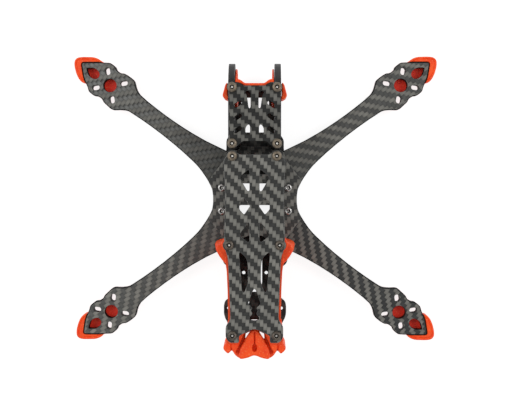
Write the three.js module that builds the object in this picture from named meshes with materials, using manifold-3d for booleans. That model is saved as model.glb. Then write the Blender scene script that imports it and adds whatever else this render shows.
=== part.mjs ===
// Bare carbon-fibre frame for a five-inch first-person-view quadcopter, in millimetres.
// +X is the right side, +Y the nose, +Z up. Z = 0 is the ground under the four landing pads.
// The outlines below are given from the centre of the four motor axes. The finished group is moved
// along Y so that the origin is the middle of the frame's own box on the ground.
import * as THREE from "three";
import { mergeVertices } from "three/addons/utils/BufferGeometryUtils.js";
import Module from "manifold-3d";

const wasm = await Module();
wasm.setup();

// ---------------------------------------------------------------- driving dimensions
const MOTOR_X = 88.6; // half the spacing of the motor axes, left to right
const MOTOR_Y = 69.4; // half the spacing of the motor axes, nose to tail
const ARM_AXIS = THREE.MathUtils.degToRad(36.5); // direction in which an arm ends, from +X
const ARM_T = 5.0;
const BOTTOM_T = 2.5;
const MID_T = 2.0;
const TOP_T = 2.5;
const PAD_T = 4.6; // landing pad under each arm
const STANDOFF = 25.0; // deck standoffs on the middle plate
const FACE_GAP = 0.02; // air between faces that lie on each other
const FIT = 0.3; // air round a soft part

const Z_ARM0 = PAD_T; // underside of the arms
const Z_ARM1 = Z_ARM0 + ARM_T;
const Z_BOT1 = Z_ARM0 - FACE_GAP; // top face of the bottom plate
const Z_BOT0 = Z_BOT1 - BOTTOM_T;
const Z_MID0 = Z_ARM1 + FACE_GAP;
const Z_MID1 = Z_MID0 + MID_T;
const Z_TOP0 = Z_MID1 + FACE_GAP + STANDOFF + FACE_GAP; // underside of the two top plates
const Z_TOP1 = Z_TOP0 + TOP_T;

const M3_SHAFT = 1.4; // radius of a screw shank, at its thread root
const M3_HOLE = 1.65;
const M3_HEAD_R = 2.85;
const M3_HEAD_H = 1.65;
const STANDOFF_R = 2.5;
const MOTOR_BORE = 4.05; // hole for the motor's shaft clip
const SLOT_R = 8.7; // middle of each motor slot from the motor axis
const SLOT_HALF = 0.95; // half the travel of a motor screw in its slot
const SLOT_W = 1.55; // half the width of a slot

// Deck screws: front plate on the camera cage, main plate on six standoffs.
const CAGE_X = 13.0;
const CAGE_Y = [65.8, 33.4];
const DECK = [
  ["front", 12.9, 26.1],
  ["middle", 14.75, -25.6],
  ["rear", 12.9, -78.6],
];
const STACK = 15.25; // half of the 30.5 mm pattern for the electronics
const ARM_BOLT = [20.35, 7.1];

// ---------------------------------------------------------------- materials
const mat = (name, color, roughness, metalness = 0) => {
  const m = new THREE.MeshStandardMaterial({ color, roughness, metalness });
  m.name = name;
  return m;
};
const CARBON = mat("carbon", 0x55565a, 0.45);
const TPU = mat("printed_tpu", 0xee4f25, 0.6);
const ALLOY = mat("black_alloy", 0x3a3b3d, 0.4, 0.9);
const STEEL = mat("bronzed_steel", 0x8a7c6c, 0.3, 1.0);
const SILVER = mat("plain_steel", 0xa9a6a2, 0.3, 1.0);

// ---------------------------------------------------------------- outlines
const mirrorX = (pts) => pts.map(([x, y]) => [-x, y]).reverse();
const mirrorY = (pts) => pts.map(([x, y]) => [x, -y]).reverse();
// A closed outline from its right half, listed from the nose round to the tail.
const bothSides = (half) => {
  const left = half
    .filter(([x]) => Math.abs(x) > 1e-6)
    .map(([x, y]) => [-x, y])
    .reverse();
  return [...half, ...left];
};
const ring = (cx, cy, r, n = 10, turn = Math.PI / 10) =>
  Array.from({ length: n }, (_, i) => {
    const a = turn + (2 * Math.PI * i) / n;
    return [cx + r * Math.cos(a), cy + r * Math.sin(a)];
  });
// A slot with round ends: centre, half the distance between the end centres, half width, direction.
const slot = (cx, cy, half, r, angle, n = 5) => {
  const out = [];
  for (const [side, start] of [
    [1, angle - Math.PI / 2],
    [-1, angle + Math.PI / 2],
  ])
    for (let i = 0; i < n; i++) {
      const a = start + (Math.PI * i) / (n - 1);
      out.push([
        cx + side * half * Math.cos(angle) + r * Math.cos(a),
        cy + side * half * Math.sin(angle) + r * Math.sin(a),
      ]);
    }
  return out;
};
const arcPts = (cx, cy, r, a0, a1, n) =>
  Array.from({ length: n }, (_, i) => {
    const a = THREE.MathUtils.degToRad(a0 + ((a1 - a0) * i) / (n - 1));
    return [cx + r * Math.cos(a), cy + r * Math.sin(a)];
  });
const area = (pts) =>
  pts.reduce((s, [x, y], i) => {
    const [u, v] = pts[(i + 1) % pts.length];
    return s + x * v - u * y;
  }, 0) / 2;
// The outline moved outwards by d, corner by corner.
const grow = (pts, d) => {
  const p = area(pts) > 0 ? pts : [...pts].reverse();
  return p.map(([x, y], i) => {
    const [ax, ay] = p[(i - 1 + p.length) % p.length];
    const [bx, by] = p[(i + 1) % p.length];
    const n1 = new THREE.Vector2(y - ay, ax - x).normalize();
    const n2 = new THREE.Vector2(by - y, x - bx).normalize();
    const n = n1.clone().add(n2).normalize();
    const k = Math.min(1 / Math.max(n.dot(n1), 0.45), 1.6);
    return [x + n.x * d * k, y + n.y * d * k];
  });
};
// The outline without the points that lie on a straight line between their neighbours.
const tidy = (pts) =>
  pts.filter(([x, y], i) => {
    const [ax, ay] = pts[(i - 1 + pts.length) % pts.length];
    const [bx, by] = pts[(i + 1) % pts.length];
    return Math.abs((x - ax) * (by - ay) - (y - ay) * (bx - ax)) > 1e-6;
  });
const toShape = (pts, holes = []) => {
  // the outline runs anticlockwise and its holes clockwise
  const path = (q, turn) => {
    const t = tidy(q).map(([x, y]) => new THREE.Vector2(x, y));
    return area(q) * turn > 0 ? t : t.reverse();
  };
  const s = new THREE.Shape(path(pts, 1));
  s.holes = holes.map((h) => new THREE.Path(path(h, -1)));
  return s;
};

// ---------------------------------------------------------------- solids
const plate = (pts, holes, z0, z1) => {
  const g = new THREE.ExtrudeGeometry(toShape(pts, holes), {
    depth: z1 - z0,
    bevelEnabled: false,
  });
  g.translate(0, 0, z0);
  return g;
};
// A profile of [radius, z] pairs, listed upwards and starting and ending on the axis, turned about Z.
const turned = (profile, segments = 12, x = 0, y = 0) => {
  const g = new THREE.LatheGeometry(
    profile.map(([r, z]) => new THREE.Vector2(r, z)),
    segments,
  );
  g.rotateX(Math.PI / 2);
  g.translate(x, y, 0);
  return g;
};
const solid = (g) => {
  const p = new THREE.BufferGeometry().setAttribute(
    "position",
    (g.index ? g.toNonIndexed() : g).getAttribute("position"),
  );
  const m = mergeVertices(p, 1e-4);
  const src = m.index.array;
  const keep = [];
  for (let i = 0; i < src.length; i += 3) {
    const [a, b, c] = [src[i], src[i + 1], src[i + 2]];
    if (a !== b && b !== c && c !== a) keep.push(a, b, c);
  }
  return new wasm.Manifold(
    new wasm.Mesh({
      numProp: 3,
      vertProperties: new Float32Array(m.attributes.position.array),
      triVerts: new Uint32Array(keep),
    }),
  );
};
const geometry = (s) => {
  const m = s.getMesh();
  const v = new Float32Array(m.numVert * 3);
  for (let i = 0; i < m.numVert; i++)
    v.set(m.vertProperties.subarray(i * m.numProp, i * m.numProp + 3), i * 3);
  return new THREE.BufferGeometry()
    .setAttribute("position", new THREE.BufferAttribute(v, 3))
    .setIndex(new THREE.BufferAttribute(new Uint32Array(m.triVerts), 1));
};
const join = (...gs) => geometry(gs.map(solid).reduce((a, b) => a.add(b)));
const cut = (g, ...tools) =>
  geometry(tools.map(solid).reduce((a, b) => a.subtract(b), solid(g)));
// An outline in the Y-Z plane, made into a wall between two X values.
const wall = (pts, holes, x0, x1) => {
  const g = new THREE.ExtrudeGeometry(toShape(pts, holes), {
    depth: x1 - x0,
    bevelEnabled: false,
  });
  // (u, v, w) -> (w, u, v)
  g.applyMatrix4(
    new THREE.Matrix4().set(0, 0, 1, x0, 1, 0, 0, 0, 0, 1, 0, 0, 0, 0, 0, 1),
  );
  return g;
};
const flipX = (g) => {
  const s = g.index ? g.toNonIndexed() : g.clone();
  const a = s.getAttribute("position").array;
  for (let i = 0; i < a.length; i += 9) {
    for (let k = 0; k < 9; k += 3) a[i + k] = -a[i + k];
    for (let k = 0; k < 3; k++)
      [a[i + 3 + k], a[i + 6 + k]] = [a[i + 6 + k], a[i + 3 + k]];
  }
  return new THREE.BufferGeometry().setAttribute(
    "position",
    s.getAttribute("position"),
  );
};
const flipY = (g) => {
  const s = g.index ? g.toNonIndexed() : g.clone();
  const a = s.getAttribute("position").array;
  for (let i = 0; i < a.length; i += 9) {
    for (let k = 1; k < 9; k += 3) a[i + k] = -a[i + k];
    for (let k = 0; k < 3; k++)
      [a[i + 3 + k], a[i + 6 + k]] = [a[i + 6 + k], a[i + 3 + k]];
  }
  return new THREE.BufferGeometry().setAttribute(
    "position",
    s.getAttribute("position"),
  );
};

const frame = new THREE.Group();
frame.name = "quadcopter_frame";
const add = (name, g, m, parent = frame) => {
  const mesh = new THREE.Mesh(g, m);
  mesh.name = name;
  parent.add(mesh);
  return mesh;
};

// ---------------------------------------------------------------- arms
// Right front arm: from its root at the waist, along its rear edge, round the motor pad and back.
const ARM_REAR_EDGE = [
  [25.5, 0.15], [25.6, 2.1], [26.15, 6.1], [27.37, 8.9], [29.9, 13.2], [33.0, 17.64],
  [35.25, 20.4], [38.0, 23.19], [43.7, 28.5], [49.7, 33.67], [56.5, 39.17], [62.9, 44.0],
  [69.4, 48.6], [76.2, 53.06],
];
const ARM_PAD = [
  [77.4, 53.73], [79.0, 54.29], [82.6, 54.64], [86.2, 54.45], [87.2, 54.65], [88.3, 55.2],
  [92.2, 58.8], [92.9, 59.7], [93.3, 60.8], [94.1, 61.7], [96.2, 62.95], [97.7, 63.0],
  [98.6, 63.3], [101.1, 65.2], [101.8, 66.2], [102.25, 68.2], [104.0, 72.3], [104.8, 74.6],
  [105.3, 77.6], [106.0, 82.3], [105.7, 83.1], [104.9, 83.45], [97.0, 83.5], [88.8, 83.2],
  [87.7, 82.8], [85.4, 80.92], [84.9, 80.2], [84.6, 79.1], [84.0, 78.36], [82.3, 77.1],
  [81.3, 76.75], [80.0, 76.7], [79.2, 76.45], [77.1, 75.21], [74.5, 73.19], [73.75, 72.3],
  [73.3, 71.3], [72.6, 68.2], [71.81, 66.1], [70.4, 63.92],
];
const ARM_FRONT_EDGE = [
  [66.2, 60.13], [60.8, 55.82], [55.5, 51.8], [50.16, 48.0], [44.0, 43.9], [38.0, 40.18],
  [30.4, 35.87], [26.37, 33.9], [20.0, 30.85],
];
const ARM_ROOT = [[17.0, 29.4], [10.4, 29.4], [8.9, 27.9], [8.9, 20.6], [10.3, 19.2], [10.3, 0.15]];
const ARM = [...ARM_REAR_EDGE, ...ARM_PAD, ...ARM_FRONT_EDGE, ...ARM_ROOT];
// A point of the motor pad: u outwards along the arm, w across it.
const pad = (u, w) => [
  MOTOR_X + u * Math.cos(ARM_AXIS) - w * Math.sin(ARM_AXIS),
  MOTOR_Y + u * Math.sin(ARM_AXIS) + w * Math.cos(ARM_AXIS),
];
const SPADE = [
  [17.6, 0.3], [17.6, -0.3], [14.2, -2.85], [11.1, -3.0], [9.3, -2.1], [8.5, -0.9],
  [8.5, 0.9], [9.3, 2.1], [11.1, 3.0], [14.2, 2.85],
].map(([u, w]) => pad(u, w));
const motorSlots = (half, r, n = 5) =>
  [45, 135, 225, 315].map((d) => {
    const a = ARM_AXIS + THREE.MathUtils.degToRad(d);
    return slot(
      MOTOR_X + SLOT_R * Math.cos(a),
      MOTOR_Y + SLOT_R * Math.sin(a),
      half,
      r,
      a,
      n,
    );
  });
const armHoles = (deck) => [
  ring(MOTOR_X, MOTOR_Y, MOTOR_BORE, 24),
  ...motorSlots(SLOT_HALF, SLOT_W),
  SPADE,
  ring(STACK, STACK, M3_HOLE),
  ring(...ARM_BOLT, M3_HOLE),
  ring(deck[1], Math.abs(deck[2]), M3_HOLE),
];
{
  const front = plate(ARM, armHoles(DECK[0]), Z_ARM0, Z_ARM1);
  const rear = flipY(plate(ARM, armHoles(DECK[1]), Z_ARM0, Z_ARM1));
  add("arm_front_right", front, CARBON);
  add("arm_front_left", flipX(front), CARBON);
  add("arm_rear_right", rear, CARBON);
  add("arm_rear_left", flipX(rear), CARBON);
}

// ---------------------------------------------------------------- landing pads under the motors
// Soft pad under each motor, with a raised rim round the arm's tip and wells for the motor screws.
const RIM = [
  [105.4, 70.9], [107.8, 73.4], [109.4, 76.9], [110.4, 81.0], [110.5, 83.8], [109.7, 85.6],
  [108.0, 86.6], [104.8, 86.9], [98.5, 86.7], [95.6, 85.7], [93.4, 83.9],
];
const PAD_BACK = [
  [88.6, 82.4], [86.2, 80.3], [85.4, 78.2], [83.2, 76.0], [80.4, 75.5], [77.4, 73.8],
  [75.0, 71.8], [74.2, 69.6], [73.8, 67.4], [74.6, 61.0], [78.2, 56.6], [83.0, 55.5],
  [87.4, 55.3], [91.9, 59.6], [92.9, 61.9], [96.0, 63.7], [98.2, 64.1], [100.6, 65.9],
  [101.4, 68.6], [103.2, 71.6],
];
{
  const outline = [...RIM, ...PAD_BACK];
  const wells = motorSlots(0.6, 2.9, 5).map((s) => plate(s, [], -1, PAD_T + 1));
  const rimInside = grow([...ARM_REAR_EDGE, ...ARM_PAD, ...ARM_FRONT_EDGE], FIT);
  const base = cut(plate(outline, [], 0, PAD_T - FACE_GAP), ...wells);
  const rim = cut(
    plate([...RIM, [93.4, 80.0], [101.0, 71.3]], [], PAD_T - 1.5, Z_ARM1 - 0.5),
    plate(rimInside, [], PAD_T - FACE_GAP, Z_ARM1 + 5),
  );
  // the part of the rim below the arm lies inside the base and disappears in the join
  const g = join(base, rim);
  add("landing_pad_front_right", g, TPU);
  add("landing_pad_front_left", flipX(g), TPU);
  add("landing_pad_rear_right", flipY(g), TPU);
  add("landing_pad_rear_left", flipX(flipY(g)), TPU);
}

// ---------------------------------------------------------------- plates of the body
// Two openings beside the middle bar, over the wiring bay.
const BAY = [
  [9.0, 3.5], [10.0, 4.5], [10.0, 8.7], [9.0, 9.7], [-9.0, 9.7], [-10.0, 8.7], [-10.0, 4.5], [-9.0, 3.5],
];
const WAIST = [
  [19.8, 22.8], [28.2, 11.8], [28.4, 10.8], [27.3, 8.75], [26.1, 6.1], [25.55, 2.1],
  [25.55, -2.1], [26.1, -6.1], [27.3, -8.75], [28.4, -10.8], [28.2, -11.8], [19.8, -22.8],
];
const fourWay = (x, y) => [[x, y], [-x, y], [-x, -y], [x, -y]];
const screwHoles = (list, r = M3_HOLE) => list.map(([x, y]) => ring(x, y, r));
const deckPoints = DECK.flatMap(([, x, y]) => [[x, y], [-x, y]]);
const cagePoints = CAGE_Y.flatMap((y) => [[CAGE_X, y], [-CAGE_X, y]]);

const BOTTOM = bothSides([
  [0, 70.3], [11.8, 70.3], [14.4, 69.6], [15.5, 68.0], [15.7, 62.5], [14.9, 60.5],
  [14.9, 41.8], [15.6, 39.4], [17.0, 37.6], [17.7, 35.9], [17.7, 31.0], [18.6, 24.3],
  ...WAIST,
  [20.1, -25.0], [20.1, -38.0], [19.2, -40.2], [16.2, -42.6], [14.2, -45.6], [13.6, -49.5],
  [13.6, -57.5], [14.6, -60.6], [17.4, -62.5], [18.8, -64.0], [19.3, -66.2], [19.3, -71.2],
  [18.6, -74.0], [16.9, -77.2], [16.5, -80.2], [15.4, -81.6], [10.4, -81.6], [9.4, -80.6],
  [9.0, -77.4], [7.6, -75.6], [3.6, -75.0], [0, -75.0],
]);
const BOTTOM_HOLES = [
  BAY,
  mirrorY(BAY),
  [[7.2, 42.0], [7.2, 47.6], [6.2, 48.6], [-6.2, 48.6], [-7.2, 47.6], [-7.2, 42.0], [-6.2, 41.0], [6.2, 41.0]],
  [[8.5, 55.6], [8.5, 60.4], [6.5, 62.4], [-6.5, 62.4], [-8.5, 60.4], [-8.5, 55.6], [-7.5, 54.6], [7.5, 54.6]],
  [[4.4, -36.2], [4.4, -52.4], [2.1, -57.9], [-2.1, -57.9], [-4.4, -52.4], [-4.4, -36.2], [-3.0, -33.6], [3.0, -33.6]],
  ...screwHoles([[7.0, -45.8], [-7.0, -45.8]], 1.1),
  ...screwHoles([[5.0, -64.3], [-5.0, -64.3]], 1.4),
  ...screwHoles([[16.3, -68.0], [-16.3, -68.0]], 1.1),
  ...screwHoles([...fourWay(STACK, STACK), ...fourWay(...ARM_BOLT), ...deckPoints, ...cagePoints]),
];
add("bottom_plate", plate(BOTTOM, BOTTOM_HOLES, Z_BOT0, Z_BOT1), CARBON);

const MIDDLE = bothSides([
  [0, 32.1], [8.6, 32.1], [9.4, 31.4], [9.9, 29.9], [15.9, 29.9], [17.6, 28.6], [18.2, 26.6],
  [18.7, 24.3],
  ...WAIST,
  [18.9, -24.4], [18.9, -27.6], [17.4, -29.4], [11.6, -29.4], [10.2, -28.2], [8.9, -24.4],
  [4.2, -22.3], [0, -21.8],
]);
const MIDDLE_HOLES = [
  BAY,
  mirrorY(BAY),
  [[7.6, 15.2], [8.4, 16.2], [5.4, 19.8], [-5.4, 19.8], [-8.4, 16.2], [-7.6, 15.2]],
  ...screwHoles([
    ...fourWay(STACK, STACK),
    ...fourWay(...ARM_BOLT),
    ...deckPoints.filter(([, y]) => y > -30),
  ]),
];
add("middle_plate", plate(MIDDLE, MIDDLE_HOLES, Z_MID0, Z_MID1), CARBON);

const MAIN_TOP = bothSides([
  [0, 26.9], [8.2, 26.9],
  ...arcPts(12.95, 26.0, 3.15, 143, 42, 5),
  [16.9, 25.2], [17.75, 23.4], [17.75, 20.0], [17.3, 12.0], [17.1, 4.0], [17.1, -4.0],
  [17.4, -14.0], [17.75, -22.2],
  ...arcPts(14.75, -25.7, 3.6, 42, -52, 6),
  [16.1, -31.0], [15.5, -33.2], [15.3, -36.0], [15.0, -44.0], [14.6, -54.0], [14.3, -61.5],
  [14.1, -68.4], [14.6, -70.2], [16.3, -72.6], [16.8, -73.9], [16.8, -79.2], [16.3, -80.6],
  [14.9, -82.3], [13.9, -82.85], [9.5, -82.85], [9.0, -82.2], [9.0, -79.2], [8.4, -78.4],
  [6.8, -77.6], [4.5, -76.4], [2.2, -75.2], [0, -74.7],
]);
const windows = [
  [[2.9, 17.5], [3.7, 18.3], [8.3, 14.4], [8.4, 13.1], [4.3, 6.0], [3.6, 5.6], [2.9, 6.2]],
  [[6.1, 2.0], [2.75, -2.6], [2.75, -3.2], [6.1, -8.0], [8.8, -5.0], [8.8, -0.4]],
  [[2.9, -12.8], [3.7, -12.2], [8.6, -19.2], [8.4, -20.3], [3.9, -24.0], [2.9, -23.4]],
  [[8.5, -30.0], [9.0, -31.0], [8.8, -34.0], [8.0, -43.0], [7.5, -50.0], [7.3, -52.2], [6.3, -53.0], [5.7, -52.6], [4.3, -49.2], [3.75, -47.5], [3.75, -38.5], [4.3, -34.5], [5.4, -32.2]],
];
const FIR = bothSides([
  [0, -50.9], [1.3, -52.8], [2.7, -57.0], [3.6, -59.3], [3.5, -60.3], [1.0, -62.3],
  [2.25, -64.0], [1.0, -65.6], [2.9, -68.0], [2.8, -68.9], [1.3, -69.9],
]);
add(
  "main_top_plate",
  plate(
    MAIN_TOP,
    [...windows, ...windows.map(mirrorX), FIR, ...screwHoles(deckPoints)],
    Z_TOP0,
    Z_TOP1,
  ),
  CARBON,
);

const FRONT_TOP = bothSides([
  [0, 66.8], [6.4, 66.8], [8.2, 68.2], [9.4, 68.7],
  ...arcPts(13.0, 65.9, 3.1, 112, -18, 7),
  [15.1, 63.0], [15.0, 37.0],
  ...arcPts(13.0, 33.4, 3.15, 28, -140, 8),
  [6.5, 34.7], [0, 34.7],
]);
const frontSlots = [
  [[2.3, 62.4], [3.0, 63.5], [4.2, 63.8], [5.5, 63.4], [5.5, 62.9], [4.5, 61.2], [3.5, 54.2], [2.9, 53.5], [2.3, 54.2]],
  [[2.6, 43.4], [3.3, 44.5], [4.3, 44.1], [5.3, 42.3], [5.3, 39.3], [4.7, 38.3], [3.2, 38.0], [2.6, 38.8]],
  ...[56.0, 48.6, 41.3].map((y) => slot(9.75, y, 1.4, 1.2, THREE.MathUtils.degToRad(-35.5), 4)),
];
add(
  "front_top_plate",
  plate(
    FRONT_TOP,
    [...frontSlots, ...frontSlots.map(mirrorX), ...screwHoles(cagePoints)],
    Z_TOP0,
    Z_TOP1,
  ),
  CARBON,
);

// ---------------------------------------------------------------- camera cage sides
// Milled side plate with two tapped posts, an open web between them and a rounded prow.
const CAGE_IN = 11.6;
const CAGE_OUT = 15.4;
const POST_R = 2.9;
{
  const z0 = Z_BOT1 + FACE_GAP;
  const z1 = Z_TOP0 - FACE_GAP;
  const side = [
    [31.0, z0], [69.8, z0], [75.0, z0 + 3.2], [79.0, z0 + 8.4], [81.0, z0 + 14.0], [81.2, z0 + 18.0],
    [80.2, z0 + 21.6], [77.2, z0 + 25.6], [73.2, z0 + 29.2], [69.6, z1], [31.0, z1],
  ];
  const web = [
    // behind the rear post's own wall
    [[37.0, 13.0], [40.0, 9.6], [46.6, 9.6], [46.6, 31.0], [40.0, 31.0], [37.0, 27.6]],
    [[49.4, 11.4], [50.8, 10.0], [60.4, 10.0], [61.6, 11.2], [61.6, 29.8], [60.4, 31.0], [50.8, 31.0], [49.4, 29.6]],
    // round the camera's tilt screw
    ring(74.6, 20.4, 2.6, 16),
  ];
  const body = wall(side, web, CAGE_IN, CAGE_OUT);
  const posts = CAGE_Y.map((y) =>
    turned([[0, z0], [POST_R, z0], [POST_R, z1], [0, z1]], 16, CAGE_X, y),
  );
  const bores = CAGE_Y.flatMap((y) => [
    turned([[0, z0 - 1], [1.55, z0 - 1], [1.55, z0 + 9], [0, z0 + 9]], 12, CAGE_X, y),
    turned([[0, z1 - 9], [1.55, z1 - 9], [1.55, z1 + 1], [0, z1 + 1]], 12, CAGE_X, y),
  ]);
  const g = cut(join(body, ...posts), ...bores);
  add("camera_side_plate_right", g, ALLOY);
  add("camera_side_plate_left", flipX(g), ALLOY);
}

// ---------------------------------------------------------------- soft camera cradle
// A liner against the inside of each side plate, joined by a brow above the camera and a sill below it.
// A lug on each liner goes out through the front window of the side plate and ends in a bumper.
{
  const inner = CAGE_IN - FIT;
  const floor = Z_BOT1 + FIT;
  const roof = Z_TOP0 - FIT;
  const band = (z0, z1) =>
    plate(
      [
        [inner - 0.2, 71.2], [10.0, 71.6], [7.4, 70.8], [5.0, 68.5], [-5.0, 68.5], [-7.4, 70.8], [-10.0, 71.6],
        [-inner + 0.2, 71.2], [-inner + 0.2, 68.4], [-9.6, 68.6], [-8.0, 68.4], [-5.9, 66.8], [5.9, 66.8],
        [8.0, 68.4], [9.6, 68.6], [inner - 0.2, 68.4],
      ],
      [],
      z0,
      z1,
    );
  const posts = [CAGE_X, -CAGE_X].map((x) => plate(ring(x, CAGE_Y[0], POST_R + FIT, 16), [], 0, 60));
  const parts = [cut(band(roof - 5.0, roof), ...posts), cut(band(floor, floor + 3.2), ...posts)];
  for (const s of [1, -1]) {
    const m = (q) => (s > 0 ? q : mirrorX(q));
    const liner = wall(
      [
        [52.6, floor], [69.6, floor], [73.4, floor + 3.0], [76.4, floor + 7.8], [77.8, floor + 13.4],
        [78.0, floor + 17.4], [77.2, floor + 21.0], [74.8, floor + 24.8], [71.8, floor + 28.2],
        [69.6, roof], [66.0, roof], [64.6, roof - 2.0], [54.6, roof - 2.0], [52.6, roof - 4.0],
      ],
      [ring(74.6, 20.4, 1.2, 12)],
      inner - 1.0,
      inner,
    );
    // below and above the camera the liner steps in to pass the post behind the nose screw
    const post = plate(ring(CAGE_X, CAGE_Y[0], POST_R + FIT, 16), [], 0, 60);
    const step = (z0, z1) =>
      plate(
        [[8.6, 61.4], [10.0, 61.0], [inner - 0.2, 59.6], [inner - 0.2, 71.0], [10.0, 70.0], [8.6, 69.4]],
        [],
        z0,
        z1,
      );
    const one = cut(join(liner, step(floor + 0.1, 10.6), step(30.6, roof - 2.1)), post);
    parts.push(s > 0 ? one : flipX(one));
    parts.push(plate(m([[inner - 0.9, 57.0], [15.9, 59.0], [15.9, 61.4], [inner - 0.9, 61.4]]), [], 14.0, 27.0));
    parts.push(
      plate(
        m([[15.7, 58.5], [16.6, 58.9], [17.9, 59.8], [18.7, 61.2], [18.8, 62.3], [18.2, 64.8], [17.3, 68.0], [16.4, 69.2], [16.2, 69.1], [16.2, 62.0], [15.7, 61.4]]),
        [],
        12.5,
        28.5,
      ),
    );
  }
  const g = parts.reduce((a, b) => join(a, b));
  add("camera_cradle", g, TPU);
}

// ---------------------------------------------------------------- standoffs
{
  const tube = (x, y, z0, z1) => {
    const r = STANDOFF_R;
    const g = turned(
      [[0, z0], [r, z0], [r, z1], [0, z1]],
      14,
      x,
      y,
    );
    return cut(
      g,
      turned([[0, z0 - 1], [1.6, z0 - 1], [1.6, z0 + 9], [0, z0 + 9]], 10, x, y),
      turned([[0, z1 - 9], [1.6, z1 - 9], [1.6, z1 + 1], [0, z1 + 1]], 10, x, y),
    );
  };
  for (const [name, x, y] of DECK) {
    const z0 = (name === "rear" ? Z_BOT1 : Z_MID1) + FACE_GAP;
    for (const [side, s] of [["right", 1], ["left", -1]])
      add(`standoff_${name}_${side}`, tube(s * x, y, z0, Z_TOP0 - FACE_GAP), ALLOY);
  }
}

// ---------------------------------------------------------------- screws
// Button-head screw, pointing down from its seat, with a hexagon socket.
const button = (x, y, seat, length, headR = M3_HEAD_R, headH = M3_HEAD_H, key = 1.05) => {
  const g = turned(
    [
      [0, -length], [M3_SHAFT, -length], [M3_SHAFT, 0], [headR, 0], [headR, headH * 0.3],
      [headR * 0.6, headH], [0, headH],
    ],
    12,
  );
  const hex = turned([[0, headH * 0.3], [key * 1.12, headH * 0.3], [key * 1.12, headH + 1], [0, headH + 1]], 6);
  const s = cut(g, hex);
  s.translate(x, y, seat);
  return s;
};
const turnedOver = (g) => {
  const s = g.toNonIndexed ? (g.index ? g.toNonIndexed() : g.clone()) : g;
  s.rotateX(Math.PI);
  return s;
};
const upward = (x, y, seat, length, headR = M3_HEAD_R, headH = M3_HEAD_H) => {
  const s = turnedOver(button(0, 0, 0, length, headR, headH));
  s.translate(x, y, seat);
  return s;
};
const SIDES = [["right", 1], ["left", -1]];
for (const [side, s] of SIDES) {
  for (const [name, x, y] of DECK) {
    add(`top_screw_${name}_${side}`, button(s * x, y, Z_TOP1 + FACE_GAP, TOP_T + 5.5), STEEL);
    const reach = name === "rear" ? BOTTOM_T + 5.5 : BOTTOM_T + ARM_T + MID_T + 5.5;
    add(`bottom_screw_${name}_${side}`, upward(s * x, y, Z_BOT0 - FACE_GAP, reach), STEEL);
  }
  CAGE_Y.forEach((y, i) => {
    const name = i === 0 ? "nose" : "cage";
    add(`top_screw_${name}_${side}`, button(s * CAGE_X, y, Z_TOP1 + FACE_GAP, TOP_T + 5.5), STEEL);
    add(`bottom_screw_${name}_${side}`, upward(s * CAGE_X, y, Z_BOT0 - FACE_GAP, BOTTOM_T + 5.5), STEEL);
  });
}

// ---------------------------------------------------------------- arm bolts and nuts
const hexNut = (x, y, z0, across, h, bore) => {
  const body = turned([[0, z0], [across / 2 / Math.cos(Math.PI / 6), z0], [across / 2 / Math.cos(Math.PI / 6), z0 + h], [0, z0 + h]], 6, x, y);
  return cut(body, turned([[0, z0 - 1], [bore, z0 - 1], [bore, z0 + h + 1], [0, z0 + h + 1]], 12, x, y));
};
for (const [fb, t] of [["front", 1], ["rear", -1]])
  for (const [side, s] of SIDES) {
    const [bx, by] = [s * ARM_BOLT[0], t * ARM_BOLT[1]];
    const clamp = BOTTOM_T + ARM_T + MID_T + 2 * FACE_GAP;
    add(
      `arm_bolt_${fb}_${side}`,
      button(bx, by, Z_MID1 + FACE_GAP, clamp + 1.5, 2.35, 1.35, 0.9),
      SILVER,
    );
    add(`arm_nut_${fb}_${side}`, hexNut(bx, by, Z_BOT0 - FACE_GAP - 1.6, 5.0, 1.6, 1.55), SILVER);
    const [sx, sy] = [s * STACK, t * STACK];
    add(`stack_bolt_${fb}_${side}`, upward(sx, sy, Z_BOT0 - FACE_GAP, clamp + 9.5), STEEL);
    add(`stack_nut_${fb}_${side}`, hexNut(sx, sy, Z_MID1 + FACE_GAP, 5.5, 2.4, 1.55), SILVER);
  }

// ---------------------------------------------------------------- soft side guards
// A wall along the tail bay, with a sleeve round the middle standoff and a wing that flares outside it.
{
  const z0 = Z_BOT1 + 0.4;
  const z1 = Z_TOP0 - 0.4;
  const strip = [
    [17.0, -36.6], [16.3, -41.0], [15.8, -52.0], [15.5, -64.0], [15.4, -73.4], [13.8, -73.4],
    [13.9, -64.0], [14.2, -52.0], [14.7, -41.0], [15.2, -34.0], [16.8, -33.0],
  ];
  const wing = [
    [18.7, -23.8], [20.6, -24.0], [23.4, -25.3], [24.4, -26.9], [23.8, -30.3], [21.4, -34.4],
    [18.8, -37.8], [16.6, -39.8], [15.2, -38.6], [15.0, -35.0], [15.2, -32.0], [17.2, -29.0], [18.7, -26.4],
  ];
  const sleeve = ring(14.75, -25.6, 4.5, 20);
  const lower = Z_MID1 + 0.4;
  let g = join(
    cut(plate(strip, [], z0, z1), plate(slot(16, -52, 7.5, 2, Math.PI / 2, 4), [], 0, 1)),
    plate(wing, [], lower, z1),
    plate(sleeve, [], lower, z1),
  );
  g = cut(
    g,
    plate(ring(14.75, -25.6, STANDOFF_R + FIT, 16), [], 0, 60),
    // the sleeve is open towards the bay, so that it clips on
    plate([[4, -28.6], [13.4, -27.4], [13.4, -23.8], [4, -22.6]], [], 0, 60),
    // two windows in the long wall
    wall([[-44.0, 12.0], [-55.0, 12.0], [-55.0, 29.0], [-47.0, 29.0]], [], 12, 18),
    wall([[-58.0, 12.0], [-68.0, 12.0], [-65.0, 29.0], [-58.0, 29.0]], [], 12, 18),
  );
  add("side_guard_right", g, TPU);
  add("side_guard_left", flipX(g), TPU);
}

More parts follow.
